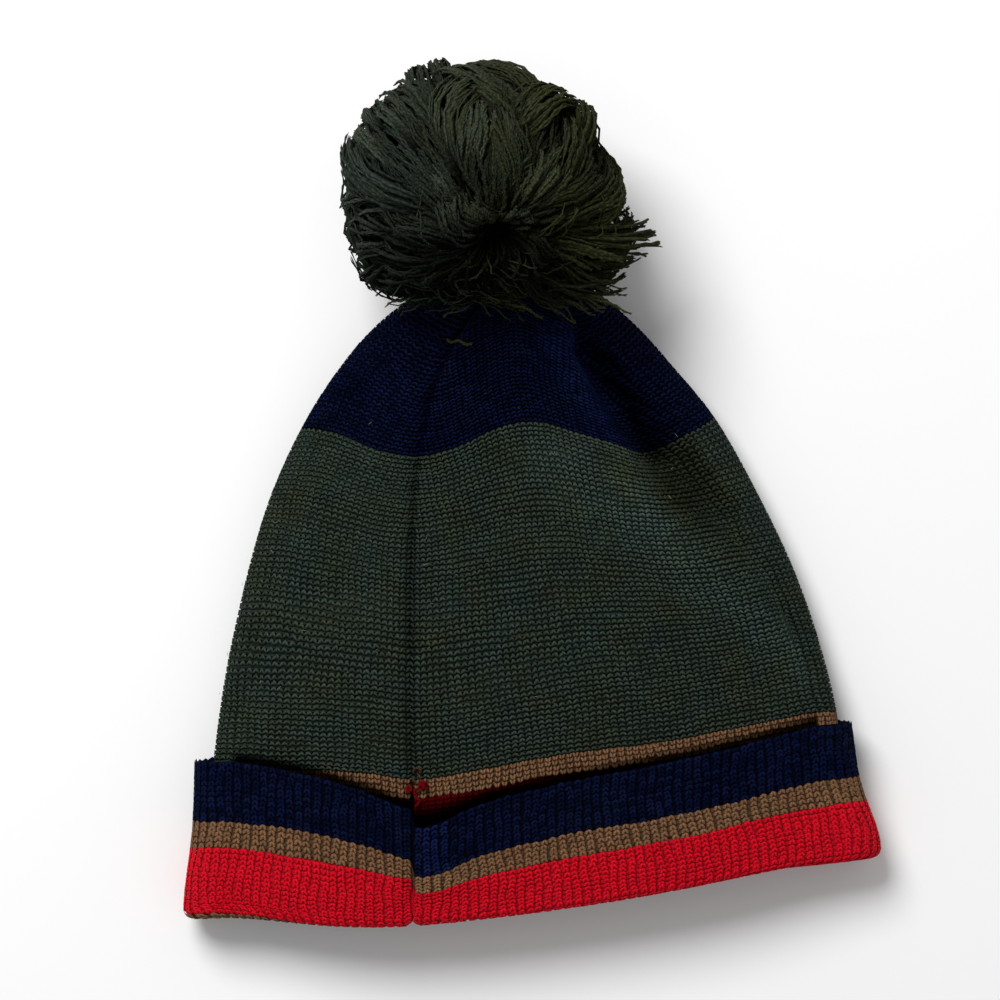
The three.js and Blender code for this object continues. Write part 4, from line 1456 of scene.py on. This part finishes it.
def yarn_lengths(name, runs, ply, pitch, material):
    """One piece of several lengths of loose yarn."""
    points, faces = [], []
    for knots in runs:
        made, made_faces = two_ply(knots, ply, pitch)
        base = sum(len(p) for p in points)
        faces.extend(tuple(base + i for i in face) for face in made_faces)
        points.append(made)
    piece = mesh_object(name, np.concatenate(points), faces, material)
    bm = bmesh.new()
    bm.from_mesh(piece.data)
    bmesh.ops.recalc_face_normals(bm, faces=bm.faces)
    bm.to_mesh(piece.data)
    bm.free()
    return finish_piece(piece)


def laid_on_knit(height, knots):
    """Knots given as x, y and a height over the knit, put on the knit below them."""
    knots = np.asarray(knots, float)
    return knots + np.stack((0 * knots[:, 0], 0 * knots[:, 0], height(knots)), -1)


def knit_bands(context, names):
    """Makes the walls and the stitches of some of the bands."""
    knit = context.scene.hat_knit
    templates = {
        leg: stitch_template(f"{leg}_stitch", leg, knit.lift / MM, knit.plump) for leg in STITCHES
    }
    for seed, (name, yarn, first, last, side, leg) in enumerate(BANDS, start=40):
        if name not in names:
            continue
        colour = tuple(getattr(context.scene.hat_colours, yarn))
        ground = bpy.data.materials.get(f"wool_ground_{yarn}") or ground_wool(yarn, colour)
        wool = bpy.data.materials.get(f"wool_yarn_{yarn}") or stitch_wool(yarn, colour)
        band_wall(name, yarn, first, last, side, knit.lift, ground)
        if side < 0:
            places = cuff_places(knit.cuff_wales, first, last)
        else:
            places = crown_places(knit.crown_wales, first, min(last, LAST_COURSE - 0.4))
        parts = {"stitches": slice(None)}
        if name == "crown_body_green":
            under = side_of(row_at(places[1]), places[0])[0] == 2
            parts = {"stitches_upper": ~under, "stitches_under": under}
        for part, keep in parts.items():
            kept = tuple(values[keep] for values in places)
            knit_stitches(f"{name}_{part}", kept, side, yarn, knit, templates[leg], wool, seed)
    for template in templates.values():
        bpy.data.objects.remove(template)


class HAT_OT_cuff(bpy.types.Operator):
    """Knits the turned-up cuff and the hem's fold"""

    bl_idname = "hat.cuff"
    bl_label = "Knit the cuff"

    def execute(self, context):
        knit_bands(context, ("cuff_edge_navy", "cuff_stripe_tan", "cuff_band_red", "hem_fold_tan"))
        return {"FINISHED"}


class HAT_OT_lining(bpy.types.Operator):
    """Knits the bands behind the cuff"""

    bl_idname = "hat.lining"
    bl_label = "Knit the inner bands"

    def execute(self, context):
        knit_bands(context, ("inner_band_navy", "inner_band_red"))
        return {"FINISHED"}


class HAT_OT_crown(bpy.types.Operator):
    """Knits the crown with its stripe, body and top"""

    bl_idname = "hat.crown"
    bl_label = "Knit the crown"

    def execute(self, context):
        knit_bands(context, ("crown_stripe_tan", "crown_body_green", "crown_top_navy"))
        return {"FINISHED"}


class HAT_OT_pompom(bpy.types.Operator):
    """Ties the pompom from cut ends of yarn"""

    bl_idname = "hat.pompom"
    bl_label = "Tie the pompom"

    def execute(self, context):
        pompom = context.scene.hat_pompom
        colours = context.scene.hat_colours
        slate, olive = tuple(colours.slate), tuple(colours.olive)
        template = yarn_end_template("yarn_end", pompom.ply / MM, 3.0)
        make_pompom_yarn(pompom, pompom_wool("wool_yarn_pompom", slate, olive), template)
        bpy.data.objects.remove(template)
        # The core is painted nearly black, as the shade deep inside the pompom
        dark = tuple(0.05 * c for c in olive)
        make_pompom_core(plain_wool("wool_packed_core", dark, "packed"))
        return {"FINISHED"}


class HAT_OT_loose_yarn(bpy.types.Operator):
    """Lays the carried yarn at the seam, a stray bit of yarn and some lint"""

    bl_idname = "hat.loose_yarn"
    bl_label = "Lay the loose yarn"

    def execute(self, context):
        colours = context.scene.hat_colours
        height = crown_tops()
        red, tan, olive = (
            plain_wool(name, [share * c for c in colour])
            for name, share, colour in (
                ("wool_carried_red", 0.32, colours.red),
                ("wool_carried_tan", 0.5, colours.tan),
                ("wool_stray_olive", 1.3, colours.olive),
            )
        )
        turns = np.linspace(0, 2.2 * np.pi, 9)
        loops = [
            np.stack((
                x + wide * np.cos(turns + tilt), y + 0.8 * wide * np.sin(turns + tilt),
                1.1 + 0.9 * np.sin(2 * turns + tilt),
            ), -1)
            for x, y, wide, tilt in RED_LOOPS
        ]
        for name, runs, ply, pitch, wool, slot in (
            ("carried_yarn_red", (*loops, *RED_RUNS), 0.36, 2.2, red, "red_wool"),
            ("carried_yarn_tan", TAN_RUNS, 0.26, 1.8, tan, "tan_wool"),
            ("stray_yarn", (STRAY_RUN,), 0.34, 2.2, olive, "olive_yarn"),
        ):
            laid = [laid_on_knit(height, run) for run in runs]
            yarn_lengths(name, laid, ply, pitch, wool)
        scatter_lint(plain_wool("wool_lint", tuple(colours.lint)))
        return {"FINISHED"}


def scatter_lint(material):
    """Short pale fibres, 0.8 to 2.4 mm long, that cling to the upper side of the knit."""
    points, faces, along, ridge = spindle(
        [(-0.5, 0, 0.1), (-0.16, 0.07, 0.4), (0.2, -0.05, 0.35), (0.5, 0.06, 0.1)],
        [(0, 0), (0.045, 0.08), (0.04, 0.08), (0, 0)], 3,
    )
    strand = np.stack((0 * along, along, ridge), -1)
    scaled = points * (1 / MM, 1 / MM, 1)
    template = hide_template(mesh_object("lint_fibre", scaled, faces, attributes={"strand": strand}))
    random = np.random.default_rng(8)
    around = random.uniform(-0.22, 0.3, LINT_FIBRES)
    course = random.uniform(30, 90, LINT_FIBRES)
    spots = [
        wall_point(around + turned, course + raised, WALL / 2)
        for turned, raised in ((0, 0), (-0.001, 0), (0.001, 0), (0, -0.2), (0, 0.2))
    ]
    place, wale, rise = spots[0], unit(spots[2] - spots[1]), unit(spots[4] - spots[3])
    turn = random.random(LINT_FIBRES)[:, None] * 2 * np.pi
    size = random.uniform(0.8, 2.4, LINT_FIBRES)[:, None]
    one = (wale * np.cos(turn) + rise * np.sin(turn)) * size
    two = (rise * np.cos(turn) - wale * np.sin(turn)) * size
    out = unit(np.cross(wale, rise))
    carrier = mesh_object("lint", place, [], attributes={
        "wale": one * MM, "rise": two * MM, "out": out, "shade": random.random(LINT_FIBRES),
    })
    run_tree(carrier, stitch_tree(), {
        "Template": template, "Yarn": material, "Unevenness": 0.0, "Seed": 3,
    })
    bpy.data.objects.remove(template)
    finish_piece(carrier)


class HAT_OT_stage(bpy.types.Operator):
    """Sets a pale floor, soft light and the camera"""

    bl_idname = "hat.stage"
    bl_label = "Set the stage"

    def execute(self, context):
        scene = context.scene
        stage = scene.hat_stage
        scene.view_settings.view_transform = "Standard"
        world = bpy.data.worlds.new("soft_room")
        world.use_nodes = True
        background = world.node_tree.nodes["Background"]
        background.inputs["Color"].default_value = (1, 1, 1, 1)
        background.inputs["Strength"].default_value = stage.room_light
        scene.world = world
        corners = [(x * FLOOR_HALF, y * FLOOR_HALF, 0) for x, y in ((-1, -1), (1, -1), (1, 1), (-1, 1))]
        paper = paper_white(tuple(scene.hat_colours.floor))
        floor = mesh_object("floor", corners, [(0, 1, 2, 3)], paper)
        light = bpy.data.lights.new("window", "AREA")
        light.shape = "DISK"
        light.size = stage.lamp_size
        light.energy = stage.lamp_power
        lamp = bpy.data.objects.new("window", light)
        lamp.location = LAMP_PLACE
        lamp.rotation_euler = Vector(lamp.location).to_track_quat("Z", "Y").to_euler()
        scene.collection.objects.link(lamp)
        camera_data = bpy.data.cameras.new("camera")
        camera_data.sensor_width = 36
        camera_data.lens = CAMERA["lens"]
        camera_data.clip_end = 50
        camera = bpy.data.objects.new("camera", camera_data)
        camera.location = CAMERA["place"]
        scene.collection.objects.link(camera)
        scene.camera = camera
        return {"FINISHED"}


OPERATORS = (
    HAT_OT_cuff, HAT_OT_lining, HAT_OT_crown, HAT_OT_pompom, HAT_OT_loose_yarn, HAT_OT_stage,
)
SETTINGS = {
    "hat_colours": HatColours, "hat_knit": HatKnit, "hat_pompom": HatPompom, "hat_stage": HatStage,
}


class HAT_PT_hat(bpy.types.Panel):
    """Lists the hat's sizes, colours and pieces"""

    bl_idname = "HAT_PT_hat"
    bl_label = "Knitted hat"
    bl_space_type = "VIEW_3D"
    bl_region_type = "UI"
    bl_category = "Hat"

    def draw(self, context):
        for name, group in SETTINGS.items():
            box = self.layout.box()
            for key in group.__annotations__:
                box.prop(getattr(context.scene, name), key)
        for operator in OPERATORS:
            self.layout.operator(operator.bl_idname)


def register():
    for name, group in SETTINGS.items():
        bpy.utils.register_class(group)
        setattr(bpy.types.Scene, name, bpy.props.PointerProperty(type=group))
    for operator in OPERATORS:
        bpy.utils.register_class(operator)
    bpy.utils.register_class(HAT_PT_hat)


def unregister():
    bpy.utils.unregister_class(HAT_PT_hat)
    for operator in reversed(OPERATORS):
        bpy.utils.unregister_class(operator)
    for name, group in SETTINGS.items():
        delattr(bpy.types.Scene, name)
        bpy.utils.unregister_class(group)


def main():
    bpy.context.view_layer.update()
    register()
    bpy.ops.hat.cuff()
    bpy.ops.hat.lining()
    bpy.ops.hat.crown()
    bpy.ops.hat.pompom()
    bpy.ops.hat.loose_yarn()
    bpy.ops.hat.stage()


if __name__ == "__main__":
    main()
